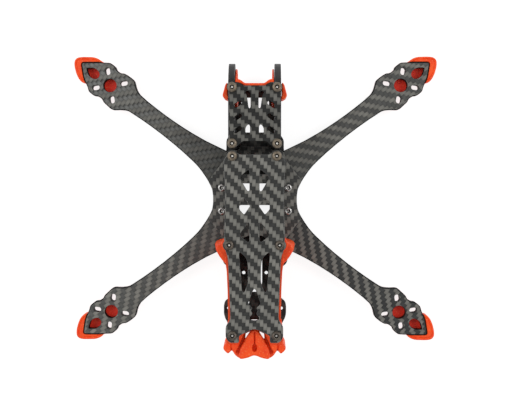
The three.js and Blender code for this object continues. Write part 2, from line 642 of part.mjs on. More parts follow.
// ---------------------------------------------------------------- soft antenna tail
{
  const z0 = Z_BOT1 + 0.4;
  const top = Z_TOP0 - 0.4;
  const BODY = bothSides([
    [0, -75.2], [1.5, -75.8], [2.8, -76.9], [5.2, -80.3], [5.0, -77.6], [9.4, -77.6], [10.0, -83.2], [16.4, -83.4],
    [17.9, -85.4], [18.7, -87.4], [18.3, -88.6], [15.9, -90.9], [14.9, -90.6], [13.6, -89.0], [12.9, -89.9],
    [11.4, -92.2], [9.5, -93.6], [8.2, -93.9], [5.8, -93.4], [3.4, -92.8], [1.6, -91.9], [0, -91.5],
  ]);
  // arms that reach forward round the rear standoffs, inside the bay
  const hook = (s) => {
    const q = [[9.0, -74.0], [16.6, -74.0], [16.8, -84.0], [9.0, -84.0]];
    return plate(s > 0 ? q : mirrorX(q), [], z0, top);
  };
  let g = join(plate(BODY, [], z0 + 4, top - 3.5), hook(1), hook(-1));
  // the ridge between the two outer channels stands higher
  g = join(
    g,
    plate(
      bothSides([[0, -75.6], [1.4, -76.2], [2.6, -77.3], [5.0, -80.9], [8.8, -89.4], [9.4, -92.2], [8.2, -93.4], [5.8, -92.9], [3.4, -92.3], [1.6, -91.4], [0, -91.0]]),
      [],
      top - 4,
      top - 1,
    ),
  );
  const tools = [];
  for (const s of [1, -1]) {
    tools.push(plate(ring(s * 12.9, -78.6, STANDOFF_R + FIT, 16), [], 0, 60));
    // channel for an antenna tube, running outwards to the tail's edge
    const a = Math.atan2(-10.6, s * 4.0);
    tools.push(plate(slot(s * 7.6, -83.8, 5.4, 0.75, a, 3), [], top - 4, 60));
    tools.push(plate(ring(s * 9.6, -89.0, 1.35, 12), [], top - 7, 60));
    // a slit beside the ridge's nose runs down and back through the body
    const slit = plate([[2.5, -75.8], [5.1, -76.8], [5.8, -80.5]].map(([x, y]) => [s * x, y]), [], 0, 60);
    const k = 0.2;
    slit.applyMatrix4(
      new THREE.Matrix4().set(1, 0, 0, 0, 0, 1, k, -k * Z_TOP1, 0, 0, 1, 0, 0, 0, 0, 1),
    );
    tools.push(slit);
  }
  tools.push(plate(slot(0.1, -80.6, 4.2, 0.45, Math.PI / 2, 3), [], top - 4, 60));
  tools.push(plate(slot(0.1, -86.6, 0.6, 1.5, Math.PI / 2, 5), [], top - 7, 60));
  g = cut(g, ...tools);
  add("antenna_tail", g, TPU);
}

// ---------------------------------------------------------------- origin
frame.updateMatrixWorld(true);
const box = new THREE.Box3().setFromObject(frame, true);
frame.position.set(0, -(box.min.y + box.max.y) / 2, 0);

export default frame;
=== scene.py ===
import math

import bmesh
import bpy
from mathutils import Matrix, Vector
from mathutils.geometry import tessellate_polygon


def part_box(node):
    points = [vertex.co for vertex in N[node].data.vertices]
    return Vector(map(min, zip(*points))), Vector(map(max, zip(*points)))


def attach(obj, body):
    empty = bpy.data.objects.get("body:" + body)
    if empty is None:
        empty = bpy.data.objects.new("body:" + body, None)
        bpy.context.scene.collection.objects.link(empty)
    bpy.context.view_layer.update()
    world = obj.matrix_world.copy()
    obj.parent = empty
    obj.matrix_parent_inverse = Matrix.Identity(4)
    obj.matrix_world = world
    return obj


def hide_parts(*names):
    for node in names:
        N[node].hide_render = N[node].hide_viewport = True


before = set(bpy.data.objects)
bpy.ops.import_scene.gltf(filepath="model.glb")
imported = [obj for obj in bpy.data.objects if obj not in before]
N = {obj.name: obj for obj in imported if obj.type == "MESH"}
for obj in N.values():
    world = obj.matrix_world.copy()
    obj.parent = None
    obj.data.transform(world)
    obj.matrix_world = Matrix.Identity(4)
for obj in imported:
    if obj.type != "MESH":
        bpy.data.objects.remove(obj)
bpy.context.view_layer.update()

# Outlines are in millimetres, from the centre of the four motor axes, as in part.mjs.
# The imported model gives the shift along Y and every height.
_ar, _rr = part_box("arm_front_right"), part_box("arm_rear_right")
DY = (_ar[1].y + _rr[0].y) / 2 * 1000.0


def zs(node):
    lo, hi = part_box(node)
    return lo.z * 1000.0, hi.z * 1000.0


ARM_Z = zs("arm_front_right")
BOT_Z = zs("bottom_plate")
MID_Z = zs("middle_plate")
TOP_Z = zs("main_top_plate")
PAD_Z = zs("landing_pad_front_right")

MOTOR_X, MOTOR_Y = 88.6, 69.4
ARM_AXIS = math.radians(36.5)
SLOT_R = 8.7
STACK = 15.25
ARM_BOLT = (20.35, 7.1)
CAGE_X, CAGE_Y = 13.0, (65.8, 33.4)
DECK = (("front", 12.9, 26.1), ("middle", 14.75, -25.6), ("rear", 12.9, -78.6))
SIDES = (("right", 1), ("left", -1))


# ------------------------------------------------------------------ outlines
def mirror_x(pts):
    return [(-x, y) for x, y in pts][::-1]


def mirror_y(pts):
    return [(x, -y) for x, y in pts][::-1]


def both(half):
    return list(half) + [(-x, y) for x, y in half if abs(x) > 1e-6][::-1]


def area(p):
    return 0.5 * sum(
        p[i][0] * p[(i + 1) % len(p)][1] - p[i][1] * p[(i + 1) % len(p)][0]
        for i in range(len(p))
    )


def circle(cx, cy, r, n=40):
    return [
        (cx + r * math.cos(2 * math.pi * i / n), cy + r * math.sin(2 * math.pi * i / n))
        for i in range(n)
    ]


def slot(cx, cy, half, r, a, n=14):
    out = []
    for side, start in ((1, a - math.pi / 2), (-1, a + math.pi / 2)):
        for i in range(n):
            t = start + math.pi * i / (n - 1)
            out.append(
                (
                    cx + side * half * math.cos(a) + r * math.cos(t),
                    cy + side * half * math.sin(a) + r * math.sin(t),
                )
            )
    return out


def arc(cx, cy, r, a0, a1, n):
    return [
        (
            cx + r * math.cos(math.radians(a0 + (a1 - a0) * i / (n - 1))),
            cy + r * math.sin(math.radians(a0 + (a1 - a0) * i / (n - 1))),
        )
        for i in range(n)
    ]


def soften(pts, cuts=(0.9, 0.4, 0.18)):
    """Rounds an outline's corners by cutting each one a few times."""
    p = [Vector(q) for q in pts]
    for d in cuts:
        out = []
        n = len(p)
        for i in range(n):
            a, b, c = p[i - 1], p[i], p[(i + 1) % n]
            u, v = a - b, c - b
            if u.length < 1e-6 or v.length < 1e-6:
                out.append(b)
                continue
            turn = math.pi - u.angle(v)
            if turn < math.radians(1.2):
                out.append(b)
                continue
            out.append(b + u.normalized() * min(d, u.length * 0.28))
            out.append(b + v.normalized() * min(d, v.length * 0.28))
        p = out
    return [(q.x, q.y) for q in p]


def offset(loop, d):
    """Moves a closed loop to its left by d."""
    n = len(loop)
    out = []
    for i in range(n):
        ax, ay = loop[i - 1]
        bx, by = loop[i]
        cx, cy = loop[(i + 1) % n]
        e1 = Vector((bx - ax, by - ay)).normalized()
        e2 = Vector((cx - bx, cy - by)).normalized()
        n1, n2 = Vector((-e1.y, e1.x)), Vector((-e2.y, e2.x))
        m = n1 + n2
        if m.length < 1e-6:
            m = n1
        m.normalize()
        k = d / max(m.dot(n1), 0.55)
        out.append((bx + m.x * k, by + m.y * k))
    return out


# ------------------------------------------------------------------ mesh making
def place_z(u, v, w):
    return (u / 1000.0, (v + DY) / 1000.0, w / 1000.0)


def place_x(u, v, w):
    """An outline in Y and Z, with its thickness along X."""
    return (w / 1000.0, (u + DY) / 1000.0, v / 1000.0)


def new_object(name, verts, faces, face_mats, smooth, mats):
    me = bpy.data.meshes.new(name)
    me.from_pydata(verts, [], faces)
    for m in mats:
        me.materials.append(m)
    me.polygons.foreach_set("material_index", face_mats)
    me.polygons.foreach_set("use_smooth", smooth)
    me.update()
    me.set_sharp_from_angle(angle=math.radians(38))
    ob = bpy.data.objects.new(name, me)
    bpy.context.scene.collection.objects.link(ob)
    return ob


def flip_object(ob, name, axis):
    """A mirrored copy of a piece, in X (0) or Y (1)."""
    me = ob.data.copy()
    me.name = name
    bm = bmesh.new()
    bm.from_mesh(me)
    for v in bm.verts:
        if axis == 0:
            v.co.x = -v.co.x
        else:
            v.co.y = 2 * DY / 1000.0 - v.co.y
    bmesh.ops.reverse_faces(bm, faces=bm.faces)
    bm.to_mesh(me)
    bm.free()
    c = bpy.data.objects.new(name, me)
    bpy.context.scene.collection.objects.link(c)
    return c


def prism(name, outline, holes, w0, w1, edge, mats, place=place_z, steps=3, hole_edge=None):
    """A plate with rounded rims: caps take material 0, walls 1, rims 2."""
    hole_edge = edge if hole_edge is None else hole_edge
    loops = [outline if area(outline) > 0 else outline[::-1]]
    loops += [h if area(h) < 0 else h[::-1] for h in holes]
    rings = []
    for t in range(steps + 1):
        a = math.pi / 2 * t / steps
        rings.append((1 - math.sin(a), 1, math.cos(a)))
    for t in range(steps, -1, -1):
        a = math.pi / 2 * t / steps
        rings.append((1 - math.sin(a), 0, math.cos(a)))

    def ring_of(loop, level, e):
        inset, top, c = rings[level]
        w = w1 - e * (1 - c) if top else w0 + e * (1 - c)
        return (offset(loop, inset * e) if inset * e > 1e-9 else loop), w

    verts, faces, fm, sm = [], [], [], []
    starts = []
    sizes = [edge] + [hole_edge] * (len(loops) - 1)
    for loop, e in zip(loops, sizes):
        n = len(loop)
        s = []
        for level in range(len(rings)):
            s.append(len(verts))
            q, w = ring_of(loop, level, e)
            verts += [place(x, y, w) for x, y in q]
        starts.append(s)
        for k in range(len(rings) - 1):
            wall = k == steps
            for i in range(n):
                j = (i + 1) % n
                faces.append((s[k] + i, s[k + 1] + i, s[k + 1] + j, s[k] + j))
                fm.append(1 if wall else 2)
                sm.append(True)
    for level, up in ((0, True), (len(rings) - 1, False)):
        flat = [
            [Vector((x, y, 0.0)) for x, y in ring_of(l, level, e)[0]]
            for l, e in zip(loops, sizes)
        ]
        index = []
        for s, l in zip(starts, loops):
            index += [s[level] + i for i in range(len(l))]
        co = [v for l in flat for v in l]
        for a, b, c in tessellate_polygon(flat):
            u, v = co[b] - co[a], co[c] - co[a]
            ccw = u.x * v.y - u.y * v.x > 0
            tri = (a, b, c) if ccw == up else (c, b, a)
            faces.append(tuple(index[i] for i in tri))
            fm.append(0)
            sm.append(False)
    return new_object(name, verts, faces, fm, sm, mats)


def loft(name, rings, mats, closed=False, cap_mat=0, ring_mats=None, origin=(0, 0)):
    """Closed surface through rings of equal length, listed upwards and anticlockwise from above.
    The ends close on a point, or the last ring meets the first when closed is true."""
    n = len(rings[0])
    ox, oy = origin
    verts = [place_z(x + ox, y + oy, z) for r in rings for x, y, z in r]
    faces, fm, sm = [], [], []
    m = len(rings)
    for k in range(m if closed else m - 1):
        a, b = k * n, ((k + 1) % m) * n
        for i in range(n):
            j = (i + 1) % n
            faces.append((a + i, a + j, b + j, b + i))
            fm.append(ring_mats[k] if ring_mats else 0)
            sm.append(True)
    if not closed:
        for level, up in ((0, False), (m - 1, True)):
            ring = rings[level]
            c = Vector((0, 0, 0))
            for x, y, z in ring:
                c += Vector((x, y, z))
            c /= n
            verts.append(place_z(c.x + ox, c.y + oy, c.z))
            ci = len(verts) - 1
            s = level * n
            for i in range(n):
                j = (i + 1) % n
                faces.append((s + i, s + j, ci) if up else (s + j, s + i, ci))
                fm.append(cap_mat)
                sm.append(True)
    return new_object(name, verts, faces, fm, sm, mats)


def bake(ob):
    """Applies a piece's modifiers."""
    dg = bpy.context.evaluated_depsgraph_get()
    me = bpy.data.meshes.new_from_object(
        ob.evaluated_get(dg), preserve_all_data_layers=False, depsgraph=dg
    )
    me.name = ob.name
    ob.modifiers.clear()
    old = ob.data
    ob.data = me
    bpy.data.meshes.remove(old)
    return ob


def boolean(ob, tools, operation):
    for t in tools:
        m = ob.modifiers.new("cut", "BOOLEAN")
        m.operation = operation
        m.solver = "EXACT"
        m.object = t
        bake(ob)
        bpy.data.objects.remove(t)
    return ob


def gather(name, parts, mats):
    """One object from several bodies."""
    bm = bmesh.new()
    for o in parts:
        bm.from_mesh(o.data)
    me = bpy.data.meshes.new(name)
    bm.to_mesh(me)
    bm.free()
    for o in parts:
        bpy.data.objects.remove(o)
    for m in mats:
        me.materials.append(m)
    ob = bpy.data.objects.new(name, me)
    bpy.context.scene.collection.objects.link(ob)
    return ob


def melt(ob, voxel, rounds, mats):
    """Runs overlapping bodies together and rounds every corner a little, as a soft print is."""
    m = ob.modifiers.new("melt", "REMESH")
    m.mode = "VOXEL"
    m.voxel_size = voxel / 1000.0
    m.use_smooth_shade = True
    s = ob.modifiers.new("ease", "SMOOTH")
    s.factor = 0.5
    s.iterations = rounds
    bake(ob)
    ob.data.materials.clear()
    for k in mats:
        ob.data.materials.append(k)
    n = len(ob.data.polygons)
    ob.data.polygons.foreach_set("material_index", [0] * n)
    ob.data.polygons.foreach_set("use_smooth", [True] * n)
    ob.data.update()
    return ob


def round_ring(r, z, n, cx=0.0, cy=0.0):
    return [
        (cx + r * math.cos(2 * math.pi * i / n), cy + r * math.sin(2 * math.pi * i / n), z)
        for i in range(n)
    ]


def hex_radius(theta, across):
    t = (theta + math.pi / 6) % (math.pi / 3) - math.pi / 6
    return across / 2 / math.cos(t)


def shaped_ring(f, z, n):
    return [
        (
            f(2 * math.pi * i / n) * math.cos(2 * math.pi * i / n),
            f(2 * math.pi * i / n) * math.sin(2 * math.pi * i / n),
            z,
        )
        for i in range(n)
    ]


# ------------------------------------------------------------------ node helpers
class Mat:
    def __init__(self, name):
        self.m = bpy.data.materials.new(name)
        self.m.use_nodes = True
        self.t = self.m.node_tree
        self.bsdf = self.t.nodes["Principled BSDF"]
        self.out = self.t.nodes["Material Output"]

    def node(self, kind, **props):
        n = self.t.nodes.new(kind)
        for k, v in props.items():
            setattr(n, k, v)
        return n

    def link(self, a, b):
        self.t.links.new(a, b)

    def put(self, value, socket):
        if isinstance(value, bpy.types.NodeSocket):
            self.link(value, socket)
        else:
            socket.default_value = value

    def math(self, op, a, b=0.0, c=0.0, clamp=False):
        n = self.node("ShaderNodeMath", operation=op)
        n.use_clamp = clamp
        self.put(a, n.inputs[0])
        self.put(b, n.inputs[1])
        if op in ("MULTIPLY_ADD", "WRAP", "COMPARE", "SMOOTH_MIN", "SMOOTH_MAX"):
            self.put(c, n.inputs[2])
        return n.outputs[0]

    def mix(self, f, a, b):
        """A plain value mix."""
        n = self.node("ShaderNodeMix", data_type="FLOAT")
        self.put(f, n.inputs[0])
        self.put(a, n.inputs[2])
        self.put(b, n.inputs[3])
        return n.outputs[0]

    def mix_color(self, f, a, b, blend="MIX"):
        n = self.node("ShaderNodeMix", data_type="RGBA", blend_type=blend)
        self.put(f, n.inputs[0])
        self.put(a, n.inputs[6])
        self.put(b, n.inputs[7])
        return n.outputs[2]

    def ramp(self, f, stops, mode="LINEAR"):
        n = self.node("ShaderNodeValToRGB")
        n.color_ramp.interpolation = mode
        e = n.color_ramp.elements
        while len(e) < len(stops):
            e.new(0.5)
        for el, (p, c) in zip(e, stops):
            el.position = p
            el.color = c if len(c) == 4 else (*c, 1.0)
        self.put(f, n.inputs[0])
        return n.outputs[0]

    def span(self, f, a, b, c, d, clamp=True):
        n = self.node("ShaderNodeMapRange")
        n.clamp = clamp
        self.put(f, n.inputs[0])
        for i, v in enumerate((a, b, c, d)):
            self.put(v, n.inputs[i + 1])
        return n.outputs[0]

    def noise(self, vec, scale, detail=2.0, rough=0.5, out="Fac", dims="3D"):
        n = self.node("ShaderNodeTexNoise", noise_dimensions=dims)
        n.inputs["Scale"].default_value = scale
        n.inputs["Detail"].default_value = detail
        n.inputs["Roughness"].default_value = rough
        self.put(vec, n.inputs["Vector"])
        return n.outputs[out]

    def white(self, vec):
        n = self.node("ShaderNodeTexWhiteNoise", noise_dimensions="3D")
        self.put(vec, n.inputs["Vector"])
        return n.outputs["Value"]

    def vec(self, x, y, z=0.0):
        n = self.node("ShaderNodeCombineXYZ")
        self.put(x, n.inputs[0])
        self.put(y, n.inputs[1])
        self.put(z, n.inputs[2])
        return n.outputs[0]

    def split(self, v):
        n = self.node("ShaderNodeSeparateXYZ")
        self.put(v, n.inputs[0])
        return n.outputs[0], n.outputs[1], n.outputs[2]

    def place(self, v, loc=(0, 0, 0), rot=(0, 0, 0), scale=(1, 1, 1)):
        n = self.node("ShaderNodeMapping")
        n.inputs["Location"].default_value = loc
        n.inputs["Rotation"].default_value = rot
        n.inputs["Scale"].default_value = scale
        self.put(v, n.inputs["Vector"])
        return n.outputs[0]

    def coords(self):
        return self.node("ShaderNodeTexCoord").outputs["Object"]

    def bump(self, height, strength, distance, normal=None):
        n = self.node("ShaderNodeBump")
        n.inputs["Strength"].default_value = strength
        n.inputs["Distance"].default_value = distance
        self.put(height, n.inputs["Height"])
        if normal is not None:
            self.put(normal, n.inputs["Normal"])
        return n.outputs[0]

    def set(self, **values):
        names = {
            "color": "Base Color",
            "rough": "Roughness",
            "metal": "Metallic",
            "normal": "Normal",
            "spec": "Specular IOR Level",
            "coat": "Coat Weight",
            "coat_rough": "Coat Roughness",
            "sss": "Subsurface Weight",
            "sss_radius": "Subsurface Radius",
            "sss_scale": "Subsurface Scale",
            "sheen": "Sheen Weight",
            "ior": "IOR",
            "aniso": "Anisotropic",
        }
        for k, v in values.items():
            self.put(v, self.bsdf.inputs[names[k]])


def grey(v, tint=(1.0, 1.0, 1.0)):
    return (v * tint[0], v * tint[1], v * tint[2], 1.0)


# ------------------------------------------------------------------ materials
def weave_uv(m, x, y, fit):
    """Tow coordinates from millimetres in the frame. fit is the centre, the turn in degrees, the tow
    widths and phases along and across, and how much the tows bow."""
    cx, cy, ang, pu, pv, cu, cv, bow = fit
    c, s = math.cos(math.radians(ang)), math.sin(math.radians(ang))
    xx, yy = m.math("SUBTRACT", x, cx), m.math("SUBTRACT", y, cy)
    u = m.math("MULTIPLY_ADD", xx, c / pu, m.math("MULTIPLY_ADD", yy, s / pu, cu))
    v = m.math("MULTIPLY_ADD", xx, -s / pv, m.math("MULTIPLY_ADD", yy, c / pv, cv))
    if bow:
        a, b, d, e, along_y = bow
        if along_y:
            r = m.math("MULTIPLY", yy, 1 / 50.0)
        else:
            r = m.math("MULTIPLY_ADD", xx, c / 50.0, m.math("MULTIPLY", yy, s / 50.0))
        r2 = m.math("MULTIPLY", r, r)
        r3 = m.math("MULTIPLY", r2, r)
        u = m.math("ADD", u, m.math("MULTIPLY_ADD", r2, a, m.math("MULTIPLY", r3, b)))
        v = m.math("ADD", v, m.math("MULTIPLY_ADD", r2, d, m.math("MULTIPLY", r3, e)))
    return u, v


def carbon(name, fit, lean=1, bright="v", light=0.12, dark=0.034, ends=0.45, fit_right=None, cool=0.0, root_tip_shade=None, dim_end_shade=0.0, spec=0.2, nose=None):
    """Two-by-two twill laminate. The tows that lie along v or u, as bright says, are painted lighter for the light they
    catch.
    lean is the side that the twill line steps to; ends is how much painted shade a float takes where it dives."""
    m = Mat(name)
    p = m.coords()
    px, py, pz = m.split(p)
    x = m.math("MULTIPLY", px, 1000.0)
    y = m.math("MULTIPLY_ADD", py, 1000.0, -DY)
    u, v = weave_uv(m, x, y, fit)
    if fit_right:
        u2, v2 = weave_uv(m, x, y, fit_right)
        right = m.math("GREATER_THAN", x, 0.0)
        u, v = m.mix(right, u, u2), m.mix(right, v, v2)
    # tows never lie perfectly straight
    wob = m.noise(p, 170.0, 1.0, out="Color")
    wx, wy, _ = m.split(wob)
    u = m.math("MULTIPLY_ADD", m.math("SUBTRACT", wx, 0.5), 0.16, u)
    v = m.math("MULTIPLY_ADD", m.math("SUBTRACT", wy, 0.5), 0.16, v)
    iu, iv = m.math("FLOOR", u), m.math("FLOOR", v)
    fu, fv = m.math("FRACT", u), m.math("FRACT", v)
    k = m.math("FLOORED_MODULO", m.math("MULTIPLY_ADD", iu, float(lean), iv), 4.0)
    lit = m.math("LESS_THAN", k, 1.5)
    s = m.math("FLOORED_MODULO", k, 2.0)
    along_v = m.math("MULTIPLY", m.math("ADD", s, fv), 0.5)
    if lean > 0:
        along_u = m.math("MULTIPLY", m.math("ADD", s, fu), 0.5)
    else:
        along_u = m.math("MULTIPLY", m.math("ADD", m.math("SUBTRACT", 1.0, s), fu), 0.5)
    is_v = lit if bright == "v" else m.math("SUBTRACT", 1.0, lit)
    along = m.mix(is_v, along_u, along_v)
    across = m.mix(is_v, fv, fu)
    # crown of the float: high in the middle, falling at its ends and sides; it sets the bump, and a painted highlight
    # on the middle with painted shade at the ends and sides
    arch = m.math("SINE", m.math("MULTIPLY", along, math.pi))
    arch = m.math("POWER", m.math("MAXIMUM", arch, 0.0), 0.6)
    side = m.math("ABSOLUTE", m.math("SUBTRACT", m.math("MULTIPLY", across, 2.0), 1.0))
    side = m.math("SUBTRACT", 1.0, m.math("POWER", side, 7.0))
    crown = m.math("MULTIPLY", arch, side)
    # filaments
    uv = m.vec(u, v, 0.0)
    fil_v = m.noise(m.place(uv, scale=(24.0, 1.0, 1.0)), 1.0, 3.0, 0.6)
    fil_u = m.noise(m.place(uv, scale=(1.0, 24.0, 1.0)), 1.0, 3.0, 0.6)
    fil = m.mix(is_v, fil_u, fil_v)
    # each float has its own tone
    half = m.math("FLOOR", m.math("DIVIDE", m.math("MULTIPLY_ADD", iu, float(lean), iv), 2.0))
    tone = m.mix(is_v, m.white(m.vec(half, iv, 7.0)), m.white(m.vec(iu, half, 1.0)))
    base = m.mix(lit, dark, light)
    vary = m.math("MULTIPLY_ADD", tone, 0.26, 0.87)
    vary = m.math("MULTIPLY", vary, m.math("MULTIPLY_ADD", fil, 0.40, 0.80))
    vary = m.math("MULTIPLY", vary, m.math("MULTIPLY_ADD", crown, ends, 1.08 - ends))
    lum = m.math("MULTIPLY", base, vary)
    if dim_end_shade:
        # painted shade: the dim tows are painted darker towards one end of each float
        ramp = m.span(along, 0.0, 0.45, 1.0 - dim_end_shade, 1.0)
        lum = m.math("MULTIPLY", lum, m.mix(lit, ramp, 1.0))
    if root_tip_shade:
        # painted shade and light: the tows are painted darker or lighter slowly along an arm, from its root out towards
        # the motor
        lum = m.math("MULTIPLY", lum, m.span(m.math("ABSOLUTE", x), 26.0, 88.0, root_tip_shade[0], root_tip_shade[1]))
    if nose:
        # painted shadow: the plate's front lip, under the edge of the main top plate, is painted darker
        lum = m.math("MULTIPLY", lum, m.span(y, nose[0], nose[1], 1.0, nose[2]))
    # soft clouding of the resin
    cloud = m.noise(p, 34.0, 2.0)
    lum = m.math("MULTIPLY", lum, m.math("MULTIPLY_ADD", cloud, 0.22, 0.89))
    tint = m.mix_color(lit, (0.985 - cool, 1.0, 0.955 + cool, 1.0), (1.02, 1.0, 0.905, 1.0))
    col = m.mix_color(1.0, m.vec(lum, lum, lum), tint, "MULTIPLY")
    # light scuffs
    scr = m.noise(m.place(p, rot=(0, 0, 0.5), scale=(900.0, 60.0, 60.0)), 1.0, 2.0, 0.6)
    scr = m.span(scr, 0.66, 0.78, 0.0, 1.0)
    col = m.mix_color(m.math("MULTIPLY", scr, 0.07), col, grey(0.30))
    r = m.math("MULTIPLY_ADD", fil, 0.14, 0.42)
    h = m.math("ADD", crown, m.math("MULTIPLY", fil, 0.14))
    m.set(color=col, rough=r, normal=m.bump(h, 0.3, 0.00005), ior=1.5)
    m.bsdf.inputs["Specular IOR Level"].default_value = spec
    return m.m


def laminate(name, lum=0.006, light=0.022):
    """Cut edge of a laminate: dark, with a fine line for each ply."""
    m = Mat(name)
    p = m.coords()
    x, y, z = m.split(p)
    ply = m.math("FRACT", m.math("MULTIPLY", z, 1000.0 / 0.25))
    ply = m.math("SUBTRACT", 1.0, m.math("ABSOLUTE", m.math("SUBTRACT", m.math("MULTIPLY", ply, 2.0), 1.0)))
    n1 = m.noise(m.place(p, scale=(1.0, 1.0, 6.0)), 900.0, 3.0, 0.6)
    n2 = m.noise(p, 260.0, 3.0, 0.6)
    f = m.math("MULTIPLY", m.span(ply, 0.15, 0.8, 0.0, 1.0), m.span(n1, 0.35, 0.7, 0.2, 1.0))
    col = m.mix_color(f, grey(lum, (1.0, 1.0, 1.0)), grey(light, (1.0, 0.99, 0.96)))
    col = m.mix_color(m.span(n2, 0.62, 0.75, 0.0, 0.5), col, grey(light * 1.8))
    m.set(color=col, rough=m.span(n1, 0.2, 0.8, 0.42, 0.68), normal=m.bump(f, 0.4, 0.00004), ior=1.5)
    m.bsdf.inputs["Specular IOR Level"].default_value = 0.12
    return m.m


def rim(name, low=0.004, high=0.013, spec=0.06):
    """Broken edge of a laminate, where the cutter has opened the fibres; with light tones it is a painted highlight on
    a chamfer.
    """
    m = Mat(name)
    p = m.coords()
    n1 = m.noise(p, 1500.0, 3.0, 0.65)
    n2 = m.noise(p, 190.0, 2.0, 0.5)
    f = m.math("MULTIPLY", m.span(n1, 0.35, 0.7, 0.15, 1.0), m.span(n2, 0.3, 0.7, 0.4, 1.0))
    m.set(
        color=m.mix_color(f, grey(low), grey(high, (1.0, 0.99, 0.96))),
        rough=m.span(n1, 0.2, 0.8, 0.6, 0.8),
        normal=m.bump(n1, 0.25, 0.00004),
        ior=1.5,
    )
    m.bsdf.inputs["Specular IOR Level"].default_value = spec
    return m.m


def printed(name, base=(0.97, 0.100, 0.009), deep=(0.83, 0.052, 0.005), angle=45.0, layer=0.2, line=0.42, groove_shade=0.3, under_arm_shade=None):
    """Printed flexible filament: layer lines on the walls, laid lines on level faces."""
    m = Mat(name)
    p = m.coords()
    x, y, z = m.split(p)
    geo = m.node("ShaderNodeNewGeometry")
    _, _, nz = m.split(geo.outputs["Normal"])
    level = m.span(m.math("ABSOLUTE", nz), 0.80, 0.97, 0.0, 1.0)
    # layers
    wob = m.noise(p, 240.0, 2.0)
    zz = m.math("MULTIPLY_ADD", z, 1000.0 / layer, m.math("MULTIPLY", wob, 0.35))
    lay = m.math("ABSOLUTE", m.math("SINE", m.math("MULTIPLY", zz, math.pi)))
    # laid lines
    q = m.place(p, rot=(0, 0, math.radians(angle)), scale=(1000.0 / line, 1000.0 / line, 1.0))
    qx, qy, _ = m.split(q)
    wob2 = m.noise(p, 130.0, 1.0)
    laid = m.math("ABSOLUTE", m.math("SINE", m.math("MULTIPLY", m.math("MULTIPLY_ADD", wob2, 0.6, qx), math.pi)))
    line_h = m.mix(level, lay, laid)
    grain = m.noise(p, 2600.0, 3.0, 0.7)
    patch = m.noise(p, 150.0, 3.0, 0.55)
    col = m.mix_color(m.span(patch, 0.3, 0.7, 0.0, 1.0), (*deep, 1.0), (*base, 1.0))
    # painted shade: the grooves between layers and laid lines are painted darker
    col = m.mix_color(
        m.math("MULTIPLY", m.math("SUBTRACT", 1.0, line_h), groove_shade),
        col,
        (deep[0] * 0.6, deep[1] * 0.5, deep[2] * 0.5, 1.0),
    )
    if under_arm_shade:
        # painted shade: the level faces low on the pad, under the arm, are painted a deep red for the dim light there
        low = m.math("MULTIPLY", m.span(z, under_arm_shade[0], under_arm_shade[1], 0.92, 0.0), m.math("MULTIPLY_ADD", level, 0.85, 0.15))
        col = m.mix_color(low, col, (1.0, 0.030, 0.012, 1.0))
    # painted highlights: light specks stand for glints on the print
    glint_speck = m.span(m.noise(p, 1100.0, 2.0, 0.6), 0.60, 0.70, 0.0, 1.0)
    col = m.mix_color(m.math("MULTIPLY", glint_speck, 0.5), col, (1.0, 0.34, 0.13, 1.0))
    pore = m.span(m.noise(p, 760.0, 2.0, 0.6), 0.60, 0.72, 0.0, 1.0)
    col = m.mix_color(m.math("MULTIPLY", pore, 0.4), col, (0.62, 0.03, 0.006, 1.0))
    h = m.math("ADD", m.math("MULTIPLY", line_h, 0.8), m.math("MULTIPLY", grain, 0.35))
    m.set(
        color=col,
        rough=m.span(grain, 0.2, 0.8, 0.42, 0.66),
        normal=m.bump(h, 0.5, 0.00006),
        sss=0.10,
        sss_radius=(1.0, 0.22, 0.08),
        sss_scale=0.0011,
        ior=1.45,
    )
    m.bsdf.inputs["Specular IOR Level"].default_value = 0.35
    return m.m


def alloy(name, lum=0.014, high=0.04, rough=0.38, wear=0.0, metal=0.35):
    """Anodised aluminium: fine blasted grain, brighter where an edge has been handled."""
    m = Mat(name)
    p = m.coords()
    g = m.noise(p, 3800.0, 2.0, 0.6)
    c = m.noise(p, 90.0, 3.0, 0.5)
    f = m.span(c, 0.3, 0.7, 0.0, 1.0)
    col = m.mix_color(f, grey(lum, (1.0, 1.0, 1.04)), grey(high * 0.7, (1.0, 1.0, 1.03)))
    col = m.mix_color(m.span(g, 0.55, 0.75, 0.0, 0.3 + wear), col, grey(high * 2.2))
    if wear:
        w = m.span(m.noise(p, 420.0, 4.0, 0.65), 0.5, 0.66, 0.0, wear)
        col = m.mix_color(w, col, grey(0.42, (1.0, 0.98, 0.95)))
    m.set(color=col, rough=m.span(g, 0.2, 0.8, rough - 0.08, rough + 0.12), normal=m.bump(g, 0.25, 0.00002))
    m.bsdf.inputs["Metallic"].default_value = metal
    return m.m


def steel(name, base, dark, rough=0.28, metal=1.0):
    """Plated screw steel with fine turning marks and a little staining."""
    m = Mat(name)
    p = m.coords()
    c = m.noise(p, 620.0, 4.0, 0.6)
    g = m.noise(p, 4200.0, 2.0, 0.6)
    col = m.mix_color(m.span(c, 0.3, 0.68, 0.0, 1.0), (*dark, 1.0), (*base, 1.0))
    m.set(color=col, rough=m.math("MULTIPLY_ADD", g, 0.2, rough - 0.06), normal=m.bump(g, 0.3, 0.00002))
    m.bsdf.inputs["Metallic"].default_value = metal
    return m.m


